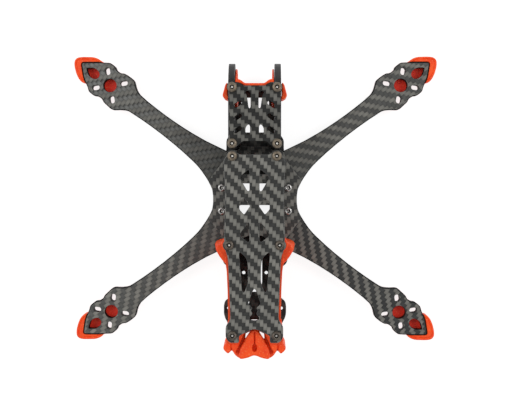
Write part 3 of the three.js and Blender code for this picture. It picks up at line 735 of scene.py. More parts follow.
FIT = {
    "top": (0.0, -23.26, -0.929, 2.0965, 2.0990, 0.045, 13.938, (-0.134, -0.208, -0.071, 0.049, True)),
    "front": (0.0, 0.0, 0.64, 2.1138, 2.1212, 2.529, -23.164, None),
    "fr": (58.02, 47.30, 34.839, 2.0140, 2.0274, 4.936, 0.336, (0.082, 0.037, 0.045, -0.016, False)),
    "fl": (0.0, 0.0, -36.59, 2.0172, 2.0304, 34.904, -1.632, None),
    "rr": (58.03, -47.30, -34.944, 2.0408, 2.0673, 6.687, 0.211, (0.082, -0.002, -0.063, 0.140, False)),
    "rl": (0.0, 0.0, 35.19, 2.0444, 2.0616, 36.915, 2.939, None),
    "mid_l": (0.0, 0.0, 0.32, 2.1310, 2.0891, 12.104, 0.688, None),
    "mid_r": (0.0, 0.0, 1.04, 2.1160, 2.0745, -8.206, 0.230, None),
    "low": (0.0, 0.0, 0.4, 2.11, 2.10, 0.3, 0.7, None),
}
M = {
    "top": carbon("carbon_top_plate", FIT["top"], 1, "v", 0.168, 0.035),
    "front": carbon("carbon_front_plate", FIT["front"], 1, "v", 0.114, 0.018),
    # each arm's lit and dim tow tones, and which tows are lit, are painted light, set per arm for how its tows faced
    # the light
    "arm_fr": carbon("carbon_arm_front_right", FIT["fr"], 1, "u", 0.142, 0.066, 0.40),
    "arm_fl": carbon("carbon_arm_front_left", FIT["fl"], -1, "v", 0.124, 0.122, 0.50, root_tip_shade=(0.74, 1.12), dim_end_shade=0.72),
    "arm_rr": carbon("carbon_arm_rear_right", FIT["rr"], 1, "v", 0.142, 0.037, 0.40, cool=0.03),
    "arm_rl": carbon("carbon_arm_rear_left", FIT["rl"], -1, "u", 0.154, 0.076, 0.40, root_tip_shade=(0.9, 1.08)),
    # the middle plate's front lip takes a painted shadow (nose)
    "mid": carbon("carbon_middle_plate", FIT["mid_l"], -1, "v", 0.165, 0.048, nose=(25.0, 28.5, 0.5), fit_right=FIT["mid_r"]),
    # the bottom plate's carbon is painted darker than the other plates: painted shade for the shadow under the decks
    "low": carbon("carbon_bottom_plate_shaded", FIT["low"], 1, "v", 0.04, 0.012),
    "edge": laminate("laminate_edge"),
    "rim": rim("laminate_rim"),
    # painted highlight: the lighter rim stands for light caught on the chamfered edges of the top and middle plates
    "rim_highlight": rim("laminate_rim_painted_highlight", 0.07, 0.20, 0.5),
    "tpu": printed("printed_tpu"),
    "tpu_pad": printed("printed_tpu_pad", under_arm_shade=(0.0050, 0.0068), groove_shade=0.35),
    "tpu_rough": printed("printed_tpu_coarse", layer=0.28, line=0.5, groove_shade=0.45),
    "alloy": alloy("black_alloy"),
    "alloy_edge": alloy("black_alloy_edge", lum=0.04, high=0.1, rough=0.32, wear=0.35),
    "bronze": steel("bronzed_steel", (0.25, 0.205, 0.15), (0.10, 0.08, 0.06), 0.42, 0.55),
    "dusky": steel("bronzed_steel_dusky", (0.15, 0.125, 0.10), (0.035, 0.03, 0.025), 0.36, 0.6),
    # painted highlight: a brighter steel than the screw heads, on the cone at the socket's floor, so it throws a glint;
    # the cone's tilt also turns real reflections of the lamps
    "glint": steel("bright_glint_steel", (0.85, 0.82, 0.76), (0.45, 0.43, 0.40), 0.3),
    # painted shade: the near-black steel lines the hex sockets, standing for the shadow in the recess
    "bronze_socket_shade": steel("bronzed_steel_socket_shade", (0.012, 0.011, 0.01), (0.005, 0.005, 0.004), 0.5),
    "silver": steel("plain_steel", (0.62, 0.61, 0.59), (0.30, 0.29, 0.28), 0.26),
    "silver_socket_shade": steel("plain_steel_socket_shade", (0.03, 0.03, 0.03), (0.012, 0.012, 0.012), 0.45),
}


def stand_in(ob, node):
    """The piece takes the place of a CAD node."""
    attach(ob, "root")
    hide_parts(node)
    return ob


# ------------------------------------------------------------------ arms
ARM_REAR_EDGE = [
    (25.5, 0.15), (25.6, 2.1), (26.15, 6.1), (27.37, 8.9), (29.9, 13.2), (33.0, 17.64),
    (35.25, 20.4), (38.0, 23.19), (43.7, 28.5), (49.7, 33.67), (56.5, 39.17), (62.9, 44.0),
    (69.4, 48.6), (76.2, 53.06),
]
ARM_PAD = [
    (77.4, 53.73), (79.0, 54.29), (82.6, 54.64), (86.2, 54.45), (87.2, 54.65), (88.3, 55.2),
    (92.2, 58.8), (92.9, 59.7), (93.3, 60.8), (94.1, 61.7), (96.2, 62.95), (97.7, 63.0),
    (98.6, 63.3), (101.1, 65.2), (101.8, 66.2), (102.25, 68.2), (104.0, 72.3), (104.8, 74.6),
    (105.3, 77.6), (106.0, 82.3), (105.7, 83.1), (104.9, 83.45), (97.0, 83.5), (88.8, 83.2),
    (87.7, 82.8), (85.4, 80.92), (84.9, 80.2), (84.6, 79.1), (84.0, 78.36), (82.3, 77.1),
    (81.3, 76.75), (80.0, 76.7), (79.2, 76.45), (77.1, 75.21), (74.5, 73.19), (73.75, 72.3),
    (73.3, 71.3), (72.6, 68.2), (71.81, 66.1), (70.4, 63.92),
]
ARM_FRONT_EDGE = [
    (66.2, 60.13), (60.8, 55.82), (55.5, 51.8), (50.16, 48.0), (44.0, 43.9), (38.0, 40.18),
    (30.4, 35.87), (26.37, 33.9), (20.0, 30.85),
]
ARM_ROOT = [(17.0, 29.4), (10.4, 29.4), (8.9, 27.9), (8.9, 20.6), (10.3, 19.2), (10.3, 0.15)]
ARM = ARM_REAR_EDGE + ARM_PAD + ARM_FRONT_EDGE + ARM_ROOT
FINE = (0.5, 0.22, 0.1)


def pad_point(u, w):
    return (
        MOTOR_X + u * math.cos(ARM_AXIS) - w * math.sin(ARM_AXIS),
        MOTOR_Y + u * math.sin(ARM_AXIS) + w * math.cos(ARM_AXIS),
    )


SPADE = [
    pad_point(u, w)
    for u, w in (
        (17.6, 0.3), (17.6, -0.3), (14.2, -2.85), (11.1, -3.0), (9.3, -2.1), (8.5, -0.9),
        (8.5, 0.9), (9.3, 2.1), (11.1, 3.0), (14.2, 2.85),
    )
]


def motor_slots(half, r, n=14):
    out = []
    for d in (45, 135, 225, 315):
        a = ARM_AXIS + math.radians(d)
        out.append(
            slot(MOTOR_X + SLOT_R * math.cos(a), MOTOR_Y + SLOT_R * math.sin(a), half, r, a, n)
        )
    return out


def hole(x, y, r=1.65):
    return circle(x, y, r, 28)


def arm_holes(deck_x, deck_y):
    return [
        circle(MOTOR_X, MOTOR_Y, 4.05, 56),
        *motor_slots(0.8, 1.5),
        soften(SPADE, (0.6, 0.3, 0.12)),
        hole(STACK, STACK),
        hole(*ARM_BOLT),
        hole(deck_x, abs(deck_y)),
    ]


def recoloured(ob, mats):
    for i, k in enumerate(mats):
        ob.data.materials[i] = k
    return ob


def arm_mats(key):
    return [M[key], M["edge"], M["rim"]]


ARM_LINE = soften(ARM, FINE)
a_fr = prism("arm_front_right_laminate", ARM_LINE, arm_holes(DECK[0][1], DECK[0][2]), *ARM_Z, 0.55, arm_mats("arm_fr"), hole_edge=0.08)
a_fl = recoloured(flip_object(a_fr, "arm_front_left_laminate", 0), arm_mats("arm_fl"))
a_up = prism("arm_rear_right_laminate", ARM_LINE, arm_holes(DECK[1][1], DECK[1][2]), *ARM_Z, 0.55, arm_mats("arm_rr"), hole_edge=0.08)
a_rr = flip_object(a_up, "arm_rear_right_plate", 1)
bpy.data.objects.remove(a_up)
a_rl = recoloured(flip_object(a_rr, "arm_rear_left_laminate", 0), arm_mats("arm_rl"))
stand_in(a_fr, "arm_front_right")
stand_in(a_fl, "arm_front_left")
stand_in(a_rr, "arm_rear_right")
stand_in(a_rl, "arm_rear_left")

# ------------------------------------------------------------------ landing pads
RIM = [
    (105.4, 70.9), (107.8, 73.4), (109.4, 76.9), (110.4, 81.0), (110.5, 83.8), (109.7, 85.6),
    (108.0, 86.6), (104.8, 86.9), (98.5, 86.7), (95.6, 85.7), (93.4, 83.9),
]
PAD_BACK = [
    (88.6, 82.4), (86.2, 80.3), (85.4, 78.2), (83.2, 76.0), (80.4, 75.5), (77.4, 73.8),
    (75.0, 71.8), (74.2, 69.6), (73.8, 67.4), (74.6, 61.0), (78.2, 56.6), (83.0, 55.5),
    (87.4, 55.3), (91.9, 59.6), (92.9, 61.9), (96.0, 63.7), (98.2, 64.1), (100.6, 65.9),
    (101.4, 68.6), (103.2, 71.6),
]
T = [M["tpu"]] * 3
TR = [M["tpu_rough"]] * 3
rim_line = soften(RIM + [(93.4, 80.0), (101.0, 71.3)], (0.7, 0.3, 0.15))
pad_base = prism("pad_base", soften(RIM + PAD_BACK, (0.8, 0.35, 0.15)), [], 0.05, ARM_Z[0] - 0.04, 0.3, T)
for k, w in enumerate(motor_slots(0.6, 2.9, 16)):
    boolean(pad_base, [prism("well", w, [], -1.0, 8.0, 0.02, T, steps=1)], "DIFFERENCE")
pad_rim = prism("pad_rim", rim_line, [], ARM_Z[0] - 1.5, ARM_Z[1] - 0.5, 0.55, T)
inside = offset(ARM_REAR_EDGE + ARM_PAD + ARM_FRONT_EDGE, -0.3)
boolean(pad_rim, [prism("arm_space", inside, [], ARM_Z[0] - 0.04, ARM_Z[1] + 4, 0.02, T, steps=1)], "DIFFERENCE")
# a shallow groove follows the top of the rim
groove = prism(
    "groove", offset(rim_line, 1.15), [offset(rim_line, 1.75)[::-1]], ARM_Z[1] - 1.1, ARM_Z[1] + 3, 0.01, T, steps=1
)
boolean(pad_rim, [groove], "DIFFERENCE")
pad = melt(gather("landing_pad_front_right_print", [pad_base, pad_rim], T[:1]), 0.26, 3, [M["tpu_pad"]])
pad_fl = flip_object(pad, "landing_pad_front_left_print", 0)
pad_rr = flip_object(pad, "landing_pad_rear_right_print", 1)
pad_rl = flip_object(pad_rr, "landing_pad_rear_left_print", 0)
for ob, node in ((pad, "front_right"), (pad_fl, "front_left"), (pad_rr, "rear_right"), (pad_rl, "rear_left")):
    stand_in(ob, "landing_pad_" + node)

# ------------------------------------------------------------------ plates
BAY = [
    (9.0, 3.5), (10.0, 4.5), (10.0, 8.7), (9.0, 9.7), (-9.0, 9.7), (-10.0, 8.7), (-10.0, 4.5), (-9.0, 3.5),
]
WAIST = [
    (19.8, 22.8), (28.2, 11.8), (28.4, 10.8), (27.3, 8.75), (26.1, 6.1), (25.55, 2.1),
    (25.55, -2.1), (26.1, -6.1), (27.3, -8.75), (28.4, -10.8), (28.2, -11.8), (19.8, -22.8),
]


def four_way(x, y):
    return [(x, y), (-x, y), (-x, -y), (x, -y)]


DECK_POINTS = [(s * x, y) for _, x, y in DECK for s in (1, -1)]
CAGE_POINTS = [(s * CAGE_X, y) for y in CAGE_Y for s in (1, -1)]
BOTTOM = both([
    (0, 70.3), (11.8, 70.3), (14.4, 69.6), (15.5, 68.0), (15.7, 62.5), (14.9, 60.5),
    (14.9, 41.8), (15.6, 39.4), (17.0, 37.6), (17.7, 35.9), (17.7, 31.0), (18.6, 24.3),
    *WAIST,
    (20.1, -25.0), (20.1, -38.0), (19.2, -40.2), (16.2, -42.6), (14.2, -45.6), (13.6, -49.5),
    (13.6, -57.5), (14.6, -60.6), (17.4, -62.5), (18.8, -64.0), (19.3, -66.2), (19.3, -71.2),
    (18.6, -74.0), (16.9, -77.2), (16.5, -80.2), (15.4, -81.6), (10.4, -81.6), (9.4, -80.6),
    (9.0, -77.4), (7.6, -75.6), (3.6, -75.0), (0, -75.0),
])
BOTTOM_WINDOWS = [
    BAY,
    mirror_y(BAY),
    [(7.2, 42.0), (7.2, 47.6), (6.2, 48.6), (-6.2, 48.6), (-7.2, 47.6), (-7.2, 42.0), (-6.2, 41.0), (6.2, 41.0)],
    [(8.5, 55.6), (8.5, 60.4), (6.5, 62.4), (-6.5, 62.4), (-8.5, 60.4), (-8.5, 55.6), (-7.5, 54.6), (7.5, 54.6)],
    [(4.4, -36.2), (4.4, -52.4), (2.1, -57.9), (-2.1, -57.9), (-4.4, -52.4), (-4.4, -36.2), (-3.0, -33.6), (3.0, -33.6)],
]
bottom = prism(
    "bottom_plate_laminate",
    soften(BOTTOM, FINE),
    [soften(w, FINE) for w in BOTTOM_WINDOWS]
    + [hole(x, y, 1.1) for x, y in ((7.0, -45.8), (-7.0, -45.8))]
    + [hole(x, y, 1.4) for x, y in ((5.0, -64.3), (-5.0, -64.3))]
    + [hole(x, y, 1.1) for x, y in ((16.3, -68.0), (-16.3, -68.0))]
    + [hole(x, y) for x, y in four_way(STACK, STACK) + four_way(*ARM_BOLT) + DECK_POINTS + CAGE_POINTS],
    *BOT_Z,
    0.14,
    [M["low"], M["edge"], M["rim"]],
)
stand_in(bottom, "bottom_plate")

MIDDLE = both([
    (0, 32.1), (8.6, 32.1), (9.4, 31.4), (9.9, 29.9), (15.9, 29.9), (17.6, 28.6), (18.2, 26.6),
    (18.7, 24.3),
    *WAIST,
    (18.9, -24.4), (18.9, -27.6), (17.4, -29.4), (11.6, -29.4), (10.2, -28.2), (8.9, -24.4),
    (4.2, -22.3), (0, -21.8),
])
middle = prism(
    "middle_plate_laminate",
    soften(MIDDLE, FINE),
    [soften(BAY, FINE), soften(mirror_y(BAY), FINE),
     soften([(7.6, 15.2), (8.4, 16.2), (5.4, 19.8), (-5.4, 19.8), (-8.4, 16.2), (-7.6, 15.2)], FINE)]
    + [hole(x, y) for x, y in four_way(STACK, STACK) + four_way(*ARM_BOLT) + [q for q in DECK_POINTS if q[1] > -30]],
    *MID_Z,
    0.12,
    [M["mid"], M["edge"], M["rim_highlight"]],
    hole_edge=0.08,
)
stand_in(middle, "middle_plate")

MAIN_TOP = both([
    (0, 26.9), (8.2, 26.9),
    *arc(12.95, 26.0, 3.15, 143, 42, 12),
    (16.9, 25.2), (17.75, 23.4), (17.75, 20.0), (17.3, 12.0), (17.1, 4.0), (17.1, -4.0),
    (17.4, -14.0), (17.75, -22.2),
    *arc(14.75, -25.7, 3.6, 42, -52, 14),
    (16.1, -31.0), (15.5, -33.2), (15.3, -36.0), (15.0, -44.0), (14.6, -54.0), (14.3, -61.5),
    (14.1, -68.4), (14.6, -70.2), (16.3, -72.6), (16.8, -73.9), (16.8, -79.2), (16.3, -80.6),
    (14.9, -82.3), (13.9, -82.85), (9.5, -82.85), (9.0, -82.2), (9.0, -79.2), (8.4, -78.4),
    (6.8, -77.6), (4.5, -76.4), (2.2, -75.2), (0, -74.7),
])
WINDOWS = [
    [(2.9, 17.5), (3.7, 18.3), (8.3, 14.4), (8.4, 13.1), (4.3, 6.0), (3.6, 5.6), (2.9, 6.2)],
    [(6.1, 2.0), (2.75, -2.6), (2.75, -3.2), (6.1, -8.0), (8.8, -5.0), (8.8, -0.4)],
    [(2.9, -12.8), (3.7, -12.2), (8.6, -19.2), (8.4, -20.3), (3.9, -24.0), (2.9, -23.4)],
    [(8.6, -29.5), (9.0, -30.8), (8.8, -34.0), (8.0, -43.0), (7.5, -50.0), (7.3, -52.2), (6.3, -53.5), (5.7, -52.8), (4.3, -49.2), (3.75, -47.5), (3.75, -38.5), (4.3, -34.5), (5.4, -32.2)],
]
FIR = both([
    (0, -50.9), (1.3, -52.8), (2.7, -57.0), (3.6, -59.3), (3.5, -60.3), (1.0, -62.3),
    (2.25, -64.0), (1.0, -65.6), (2.9, -68.0), (2.8, -68.9), (1.3, -69.9),
])
main_top = prism(
    "main_top_plate_laminate",
    soften(MAIN_TOP, FINE),
    [soften(w, FINE) for w in WINDOWS + [mirror_x(w) for w in WINDOWS] + [FIR]]
    + [hole(x, y) for x, y in DECK_POINTS],
    *TOP_Z,
    0.2,
    [M["top"], M["edge"], M["rim_highlight"]],
    hole_edge=0.1,
)
stand_in(main_top, "main_top_plate")

FRONT_TOP = both([
    (0, 66.8), (6.4, 66.8), (8.2, 68.2), (9.4, 68.7),
    *arc(13.0, 65.9, 3.1, 112, -18, 16),
    (15.1, 63.0), (15.0, 37.0),
    *arc(13.0, 33.4, 3.15, 28, -140, 18),
    (6.5, 34.7), (0, 34.7),
])
FRONT_SLOTS = [
    soften([(2.3, 62.4), (3.0, 63.5), (4.2, 63.8), (5.5, 63.4), (5.5, 62.9), (4.5, 61.2), (3.5, 54.2), (2.9, 53.5), (2.3, 54.2)], FINE),
    soften([(2.6, 43.4), (3.3, 44.5), (4.3, 44.1), (5.3, 42.3), (5.3, 39.3), (4.7, 38.3), (3.2, 38.0), (2.6, 38.8)], FINE),
    *[slot(9.75, y, 1.4, 1.2, math.radians(-35.5), 12) for y in (56.0, 48.6, 41.3)],
]
front_top = prism(
    "front_top_plate_laminate",
    soften(FRONT_TOP, FINE),
    FRONT_SLOTS + [mirror_x(w) for w in FRONT_SLOTS] + [hole(x, y) for x, y in CAGE_POINTS],
    *TOP_Z,
    0.16,
    [M["front"], M["edge"], M["rim"]],
    hole_edge=0.1,
)
stand_in(front_top, "front_top_plate")

# ------------------------------------------------------------------ camera cage sides
SIDE_Z = zs("camera_side_plate_right")
CAGE_IN, CAGE_OUT = 11.6, 15.4
sz0, sz1 = SIDE_Z
SIDE = [
    (31.0, sz0), (69.8, sz0), (75.0, sz0 + 3.2), (79.0, sz0 + 8.4), (81.0, sz0 + 14.0), (81.2, sz0 + 18.0),
    (80.2, sz0 + 21.6), (77.2, sz0 + 25.6), (73.2, sz0 + 29.2), (69.6, sz1), (31.0, sz1),
]
WEB = [
    [(37.0, 13.0), (40.0, 9.6), (46.6, 9.6), (46.6, 31.0), (40.0, 31.0), (37.0, 27.6)],
    [(49.4, 11.4), (50.8, 10.0), (60.4, 10.0), (61.6, 11.2), (61.6, 29.8), (60.4, 30.93), (50.8, 30.93), (49.4, 29.6)],
]
A3 = [M["alloy"], M["alloy"], M["alloy_edge"]]
side = prism(
    "camera_side_plate_right_milled",
    soften(SIDE, (1.8, 0.9, 0.45, 0.2)),
    [soften(w, (0.9, 0.4, 0.2)) for w in WEB] + [circle(74.6, 20.4, 2.6, 32)],
    CAGE_IN, CAGE_OUT, 0.22, A3, place=place_x,
)
for y in CAGE_Y:
    post = loft(
        "post",
        [round_ring(r, z, 48) for r, z in ((2.6, sz0 + 0.001), (2.9, sz0 + 0.3), (2.9, sz1 - 0.3), (2.6, sz1 - 0.001))],
        A3, origin=(CAGE_X, y),
    )
    boolean(side, [post], "UNION")
for y in CAGE_Y:
    for z0, z1 in ((sz0 - 1, sz0 + 9), (sz1 - 9, sz1 + 1)):
        bore = loft("bore", [round_ring(1.55, z0, 28), round_ring(1.55, z1, 28)], A3, origin=(CAGE_X, y))
        boolean(side, [bore], "DIFFERENCE")
side.data.set_sharp_from_angle(angle=math.radians(38))
side_left = flip_object(side, "camera_side_plate_left_milled", 0)
stand_in(side, "camera_side_plate_right")
stand_in(side_left, "camera_side_plate_left")

# ------------------------------------------------------------------ soft camera cradle
c_in = CAGE_IN - 0.3
c_floor = BOT_Z[1] + 0.3
c_roof = TOP_Z[0] - 0.3
BAND = [
    (c_in - 0.2, 70.5), (9.9, 70.9), (8.1, 70.3), (5.8, 68.4), (-5.8, 68.4), (-8.1, 70.3), (-9.9, 70.9),
    (-c_in + 0.2, 70.5), (-c_in + 0.2, 68.4), (-9.6, 68.6), (-8.0, 68.4), (-5.9, 66.8), (5.9, 66.8),
    (8.0, 68.4), (9.6, 68.6), (c_in - 0.2, 68.4),
]
parts = [
    prism("brow", soften(BAND, FINE), [], c_roof - 5.0, c_roof, 0.25, T),
    prism("sill", soften(BAND, FINE), [], c_floor, c_floor + 3.2, 0.25, T),
]


def clear_post(ob, s=1):
    rings = [round_ring(3.2, -1, 40), round_ring(3.2, 60, 40)]
    boolean(ob, [loft("post", rings, T, origin=(s * CAGE_X, CAGE_Y[0]))], "DIFFERENCE")


for o in parts:
    clear_post(o)
    clear_post(o, -1)
LINER = [
    (52.6, c_floor), (69.6, c_floor), (73.4, c_floor + 3.0), (76.4, c_floor + 7.8), (77.8, c_floor + 13.4),
    (78.0, c_floor + 17.4), (77.2, c_floor + 21.0), (74.8, c_floor + 24.8), (71.8, c_floor + 28.2),
    (69.6, c_roof), (66.0, c_roof), (64.6, c_roof - 2.0), (54.6, c_roof - 2.0), (52.6, c_roof - 4.0),
]
BUMPER = [
    (15.6, 59.3), (16.6, 59.5), (18.0, 60.2), (18.9, 61.3), (19.0, 62.3), (18.3, 64.8), (17.4, 68.2),
    (16.5, 69.4), (16.0, 69.3), (16.0, 62.0), (15.6, 61.4),
]
STEP = [(8.6, 61.4), (10.0, 61.0), (c_in - 0.2, 59.6), (c_in - 0.2, 71.0), (10.0, 70.0), (8.6, 69.4)]
liner = prism(
    "liner", soften(LINER, (1.2, 0.6, 0.3)), [circle(74.6, 20.4, 1.2, 24)], c_in - 1.0, c_in, 0.2, T, place=place_x
)
right = [liner]
for z0, z1 in ((c_floor + 0.1, 10.6), (30.6, c_roof - 2.1)):
    right.append(prism("step", STEP, [], z0, z1, 0.15, T))
for o in right:
    clear_post(o)
right.append(prism("lug", [(c_in - 0.9, 58.0), (15.9, 59.6), (15.9, 61.4), (c_in - 0.9, 61.4)], [], 14.0, 27.0, 0.2, T))
right.append(prism("bumper", soften(BUMPER, FINE), [], 12.5, 28.5, 0.7, T))
left = [flip_object(o, o.name + "_left", 0) for o in right]
cradle = melt(gather("camera_cradle_print", parts + right + left, T[:1]), 0.2, 2, T[:1])
stand_in(cradle, "camera_cradle")

# ------------------------------------------------------------------ standoffs
def standoff(name, x, y, z0, z1):
    n = 96
    rings = []

    def knurl(r, z, deep):
        return [
            (
                (r - deep * (0.5 - 0.5 * math.cos(24 * t))) * math.cos(t),
                (r - deep * (0.5 - 0.5 * math.cos(24 * t))) * math.sin(t),
                z,
            )
            for t in (2 * math.pi * i / n for i in range(n))
        ]

    for r, z, deep in (
        (1.5, z0 + 9, 0), (1.5, z0 + 0.25, 0), (1.7, z0, 0), (2.25, z0, 0), (2.5, z0 + 0.25, 0),
        (2.5, z0 + 4.0, 0), (2.5, z0 + 4.15, 0.16), (2.5, z1 - 4.15, 0.16), (2.5, z1 - 4.0, 0),
        (2.5, z1 - 0.25, 0), (2.25, z1, 0), (1.7, z1, 0), (1.5, z1 - 0.25, 0), (1.5, z1 - 9, 0),
    ):
        rings.append(knurl(r, z, deep))
    ring_mats = [0, 2, 0, 2, 0, 0, 0, 0, 0, 2, 0, 2, 0]
    return loft(name, rings, A3, ring_mats=ring_mats, origin=(x, y))


for where, x, y in DECK:
    for hand, s in SIDES:
        node = f"standoff_{where}_{hand}"
        stand_in(standoff(node + "_turned", s * x, y, *zs(node)), node)


# ------------------------------------------------------------------ screws, bolts and nuts
def button(name, x, y, seat, length, head_r, head_h, key, mats, down=True, turn=0.0):
    """Button-head screw with a hexagon socket and a rolled thread. down says where it points."""
    n = 36
    rings, rm = [], []

    def thread(z):
        return [
            (
                (1.40 + 0.07 * math.sin(t + 2 * math.pi * z / 0.5)) * math.cos(t),
                (1.40 + 0.07 * math.sin(t + 2 * math.pi * z / 0.5)) * math.sin(t),
                z,
            )
            for t in (2 * math.pi * i / n for i in range(n))
        ]

    def add(r, m=0):
        rings.append(r)
        rm.append(m)

    add(round_ring(1.0, -length, n))
    add(round_ring(1.3, -length + 0.3, n))
    z = -length + 0.42
    while z < -1.1:
        add(thread(z))
        z += 0.125
    add(round_ring(1.45, -0.9, n))
    add(round_ring(1.45, -0.02, n))
    add(round_ring(head_r - 0.12, 0.0, n), 0)
    add(round_ring(head_r, 0.1, n), 0)
    add(round_ring(head_r, head_h * 0.26, n), 0)
    flat = head_r * 0.56
    for i in range(1, 9):
        a = math.pi / 2 * i / 8
        add(
            round_ring(flat + (head_r - flat) * math.cos(a), head_h * 0.26 + head_h * 0.74 * math.sin(a), n),
            0,
        )
    add(round_ring(key * 1.36, head_h - 0.01, n), 0)
    add(round_ring(key * 1.2, head_h - 0.12, n), 0)
    # the socket's walls take the near-black steel: painted shade in the recess
    for z in (head_h - 0.2, head_h * 0.36):
        add(shaped_ring(lambda t: hex_radius(t + turn, key * 2), z, n), 1)
    add(round_ring(key * 0.62, head_h * 0.3, n), 1)
    # the drill's cone at the bottom of the socket, in the bright steel: a painted glint
    add(round_ring(key * 0.56, head_h * 0.3 - 0.02, n), 1)
    add(round_ring(0.04, head_h * 0.3 - 0.14, n), 2)
    # the socket starts below its chamfer
    rm = rm[:-6] + [0, 1, 1, 1, 1, 2]
    if not down:
        rings = [[(px, -py, -pz) for px, py, pz in r] for r in rings]
    rings = [[(px, py, pz + seat) for px, py, pz in r] for r in rings]
    ob = loft(name, rings, mats, ring_mats=rm[1:] + [2], cap_mat=2, origin=(x, y))
    ob.data.set_sharp_from_angle(angle=math.radians(46))
    return ob


def nut(name, x, y, z0, across, h, mats, turn=0.0):
    n = 48
    rings = []
    big = across / 2 / math.cos(math.pi / 6)
    for z, cone in ((0.0, across / 2 + 0.02), (0.22, big - 0.05), (0.34, big), (h - 0.34, big), (h - 0.22, big - 0.05), (h, across / 2 + 0.02)):
        rings.append(shaped_ring(lambda t: min(hex_radius(t + turn, across), cone), z0 + z, n))
    for r, z in ((1.75, h), (1.5, h - 0.25)):
        rings.append(round_ring(r, z0 + z, n))
    steps = int((h - 0.5) / 0.125)
    for i in range(1, steps):
        z = h - 0.25 - (h - 0.5) * i / steps
        rings.append([
            (
                (1.52 + 0.05 * math.sin(t + 2 * math.pi * z / 0.5)) * math.cos(t),
                (1.52 + 0.05 * math.sin(t + 2 * math.pi * z / 0.5)) * math.sin(t),
                z0 + z,
            )
            for t in (2 * math.pi * i / n for i in range(n))
        ])
    for r, z in ((1.5, 0.25), (1.75, 0.0)):
        rings.append(round_ring(r, z0 + z, n))
    ob = loft(name, rings, mats, closed=True, origin=(x, y))
    ob.data.set_sharp_from_angle(angle=math.radians(30))
    return ob


BRONZE = [M["bronze"], M["bronze_socket_shade"], M["glint"]]
DUSKY = [M["dusky"], M["bronze_socket_shade"], M["glint"]]
SILVER = [M["silver"], M["silver_socket_shade"], M["glint"]]


def screw(node, x, y, head_r, head_h, key, mats, down, turn):
    lo, hi = zs(node)
    seat = hi - head_h if down else lo + head_h
    length = (hi - lo) - head_h
    ob = button(node + "_turned", x, y, seat, length, head_r, head_h, key, mats, down, turn)
    return stand_in(ob, node)


count = 0
for hand, s in SIDES:
    places = [(w, x, y) for w, x, y in DECK] + [("nose", CAGE_X, CAGE_Y[0]), ("cage", CAGE_X, CAGE_Y[1])]
    for where, x, y in places:
        for deck, down in (("top", True), ("bottom", False)):
            count += 1
            screw(f"{deck}_screw_{where}_{hand}", s * x, y, 2.85, 1.65, 1.05, DUSKY if where in ("middle", "rear") else BRONZE, down, count * 0.71)
    for fb, t in (("front", 1), ("rear", -1)):
        count += 1
        screw(f"arm_bolt_{fb}_{hand}", s * ARM_BOLT[0], t * ARM_BOLT[1], 2.35, 1.35, 0.9, SILVER, True, count * 0.71)
        screw(f"stack_bolt_{fb}_{hand}", s * STACK, t * STACK, 2.85, 1.65, 1.05, BRONZE, False, count * 0.5)
        for kind, (px, py), across in (("arm_nut", ARM_BOLT, 5.0), ("stack_nut", (STACK, STACK), 5.5)):
            node = f"{kind}_{fb}_{hand}"
            lo, hi = zs(node)
            ob = nut(node + "_milled", s * px, t * py, lo, across, hi - lo, SILVER[:1], 0.0)
            stand_in(ob, node)

# ------------------------------------------------------------------ soft side guards
g0, g1 = zs("side_guard_right")
g_low = MID_Z[1] + 0.4
STRIP = [
    (17.0, -36.6), (16.3, -41.0), (15.8, -52.0), (15.5, -64.0), (15.4, -73.4), (13.8, -73.4),
    (13.9, -64.0), (14.2, -52.0), (14.7, -41.0), (15.2, -34.0), (16.8, -33.0),
]
WING_LOW = [
    (18.7, -23.8), (18.7, -26.4), (17.2, -29.0), (15.2, -32.0), (15.0, -35.0), (15.2, -38.6), (16.6, -39.7),
    (18.8, -37.8), (21.4, -34.4), (23.8, -30.3), (24.4, -26.9), (23.4, -25.3), (20.6, -24.0),
]
WING_TOP = [
    (18.7, -23.9), (18.7, -26.4), (17.2, -29.0), (15.2, -32.0), (15.0, -35.0), (15.2, -37.0), (16.5, -37.3),
    (18.4, -35.4), (20.4, -32.8), (21.9, -30.2), (22.4, -27.8), (21.6, -26.2), (19.9, -24.8),
]


def wing_ring(t, z, grow=0.0):
    lo = [Vector((a[0] + (b[0] - a[0]) * t, a[1] + (b[1] - a[1]) * t)) for a, b in zip(WING_LOW, WING_TOP)]
    q = [(v.x, v.y) for v in lo]
    if grow:
        q = offset(q, grow)
    return [(x, y, z) for x, y in q]


ccw = area(WING_LOW) > 0
wing_rings = [
    wing_ring(0.0, g_low, 0.3 if ccw else -0.3),
    wing_ring(0.0, g_low + 0.4),
    wing_ring(0.15, g_low + 6.0),
    wing_ring(0.5, g_low + 13.0),
    wing_ring(0.85, g1 - 5.0),
    wing_ring(1.0, g1 - 1.0),
    wing_ring(1.0, g1 - 0.6, 0.3 if ccw else -0.3),
]
if not ccw:
    wing_rings = [r[::-1] for r in wing_rings]
wing = loft("wing", wing_rings, TR)
strip = prism("strip", soften(STRIP, FINE), [], g0, g1, 0.2, TR)
for pts in (
    [(-44.0, 12.0), (-55.0, 12.0), (-55.0, 29.0), (-47.0, 29.0)],
    [(-58.0, 12.0), (-68.0, 12.0), (-65.0, 29.0), (-58.0, 29.0)],
):
    w = soften(pts, (1.0, 0.5, 0.25))
    boolean(strip, [prism("window", w, [], 12.0, 18.0, 0.01, TR, place=place_x, steps=1)], "DIFFERENCE")
sleeve = prism("sleeve", circle(14.75, -25.6, 4.5, 64), [circle(14.75, -25.6, 2.8, 48)], g_low, g1, 0.25, TR)
boolean(
    sleeve,
    [prism("mouth", [(4, -28.6), (13.4, -27.4), (13.4, -23.8), (4, -22.6)], [], 0, 60, 0.01, TR, steps=1)],
    "DIFFERENCE",
)
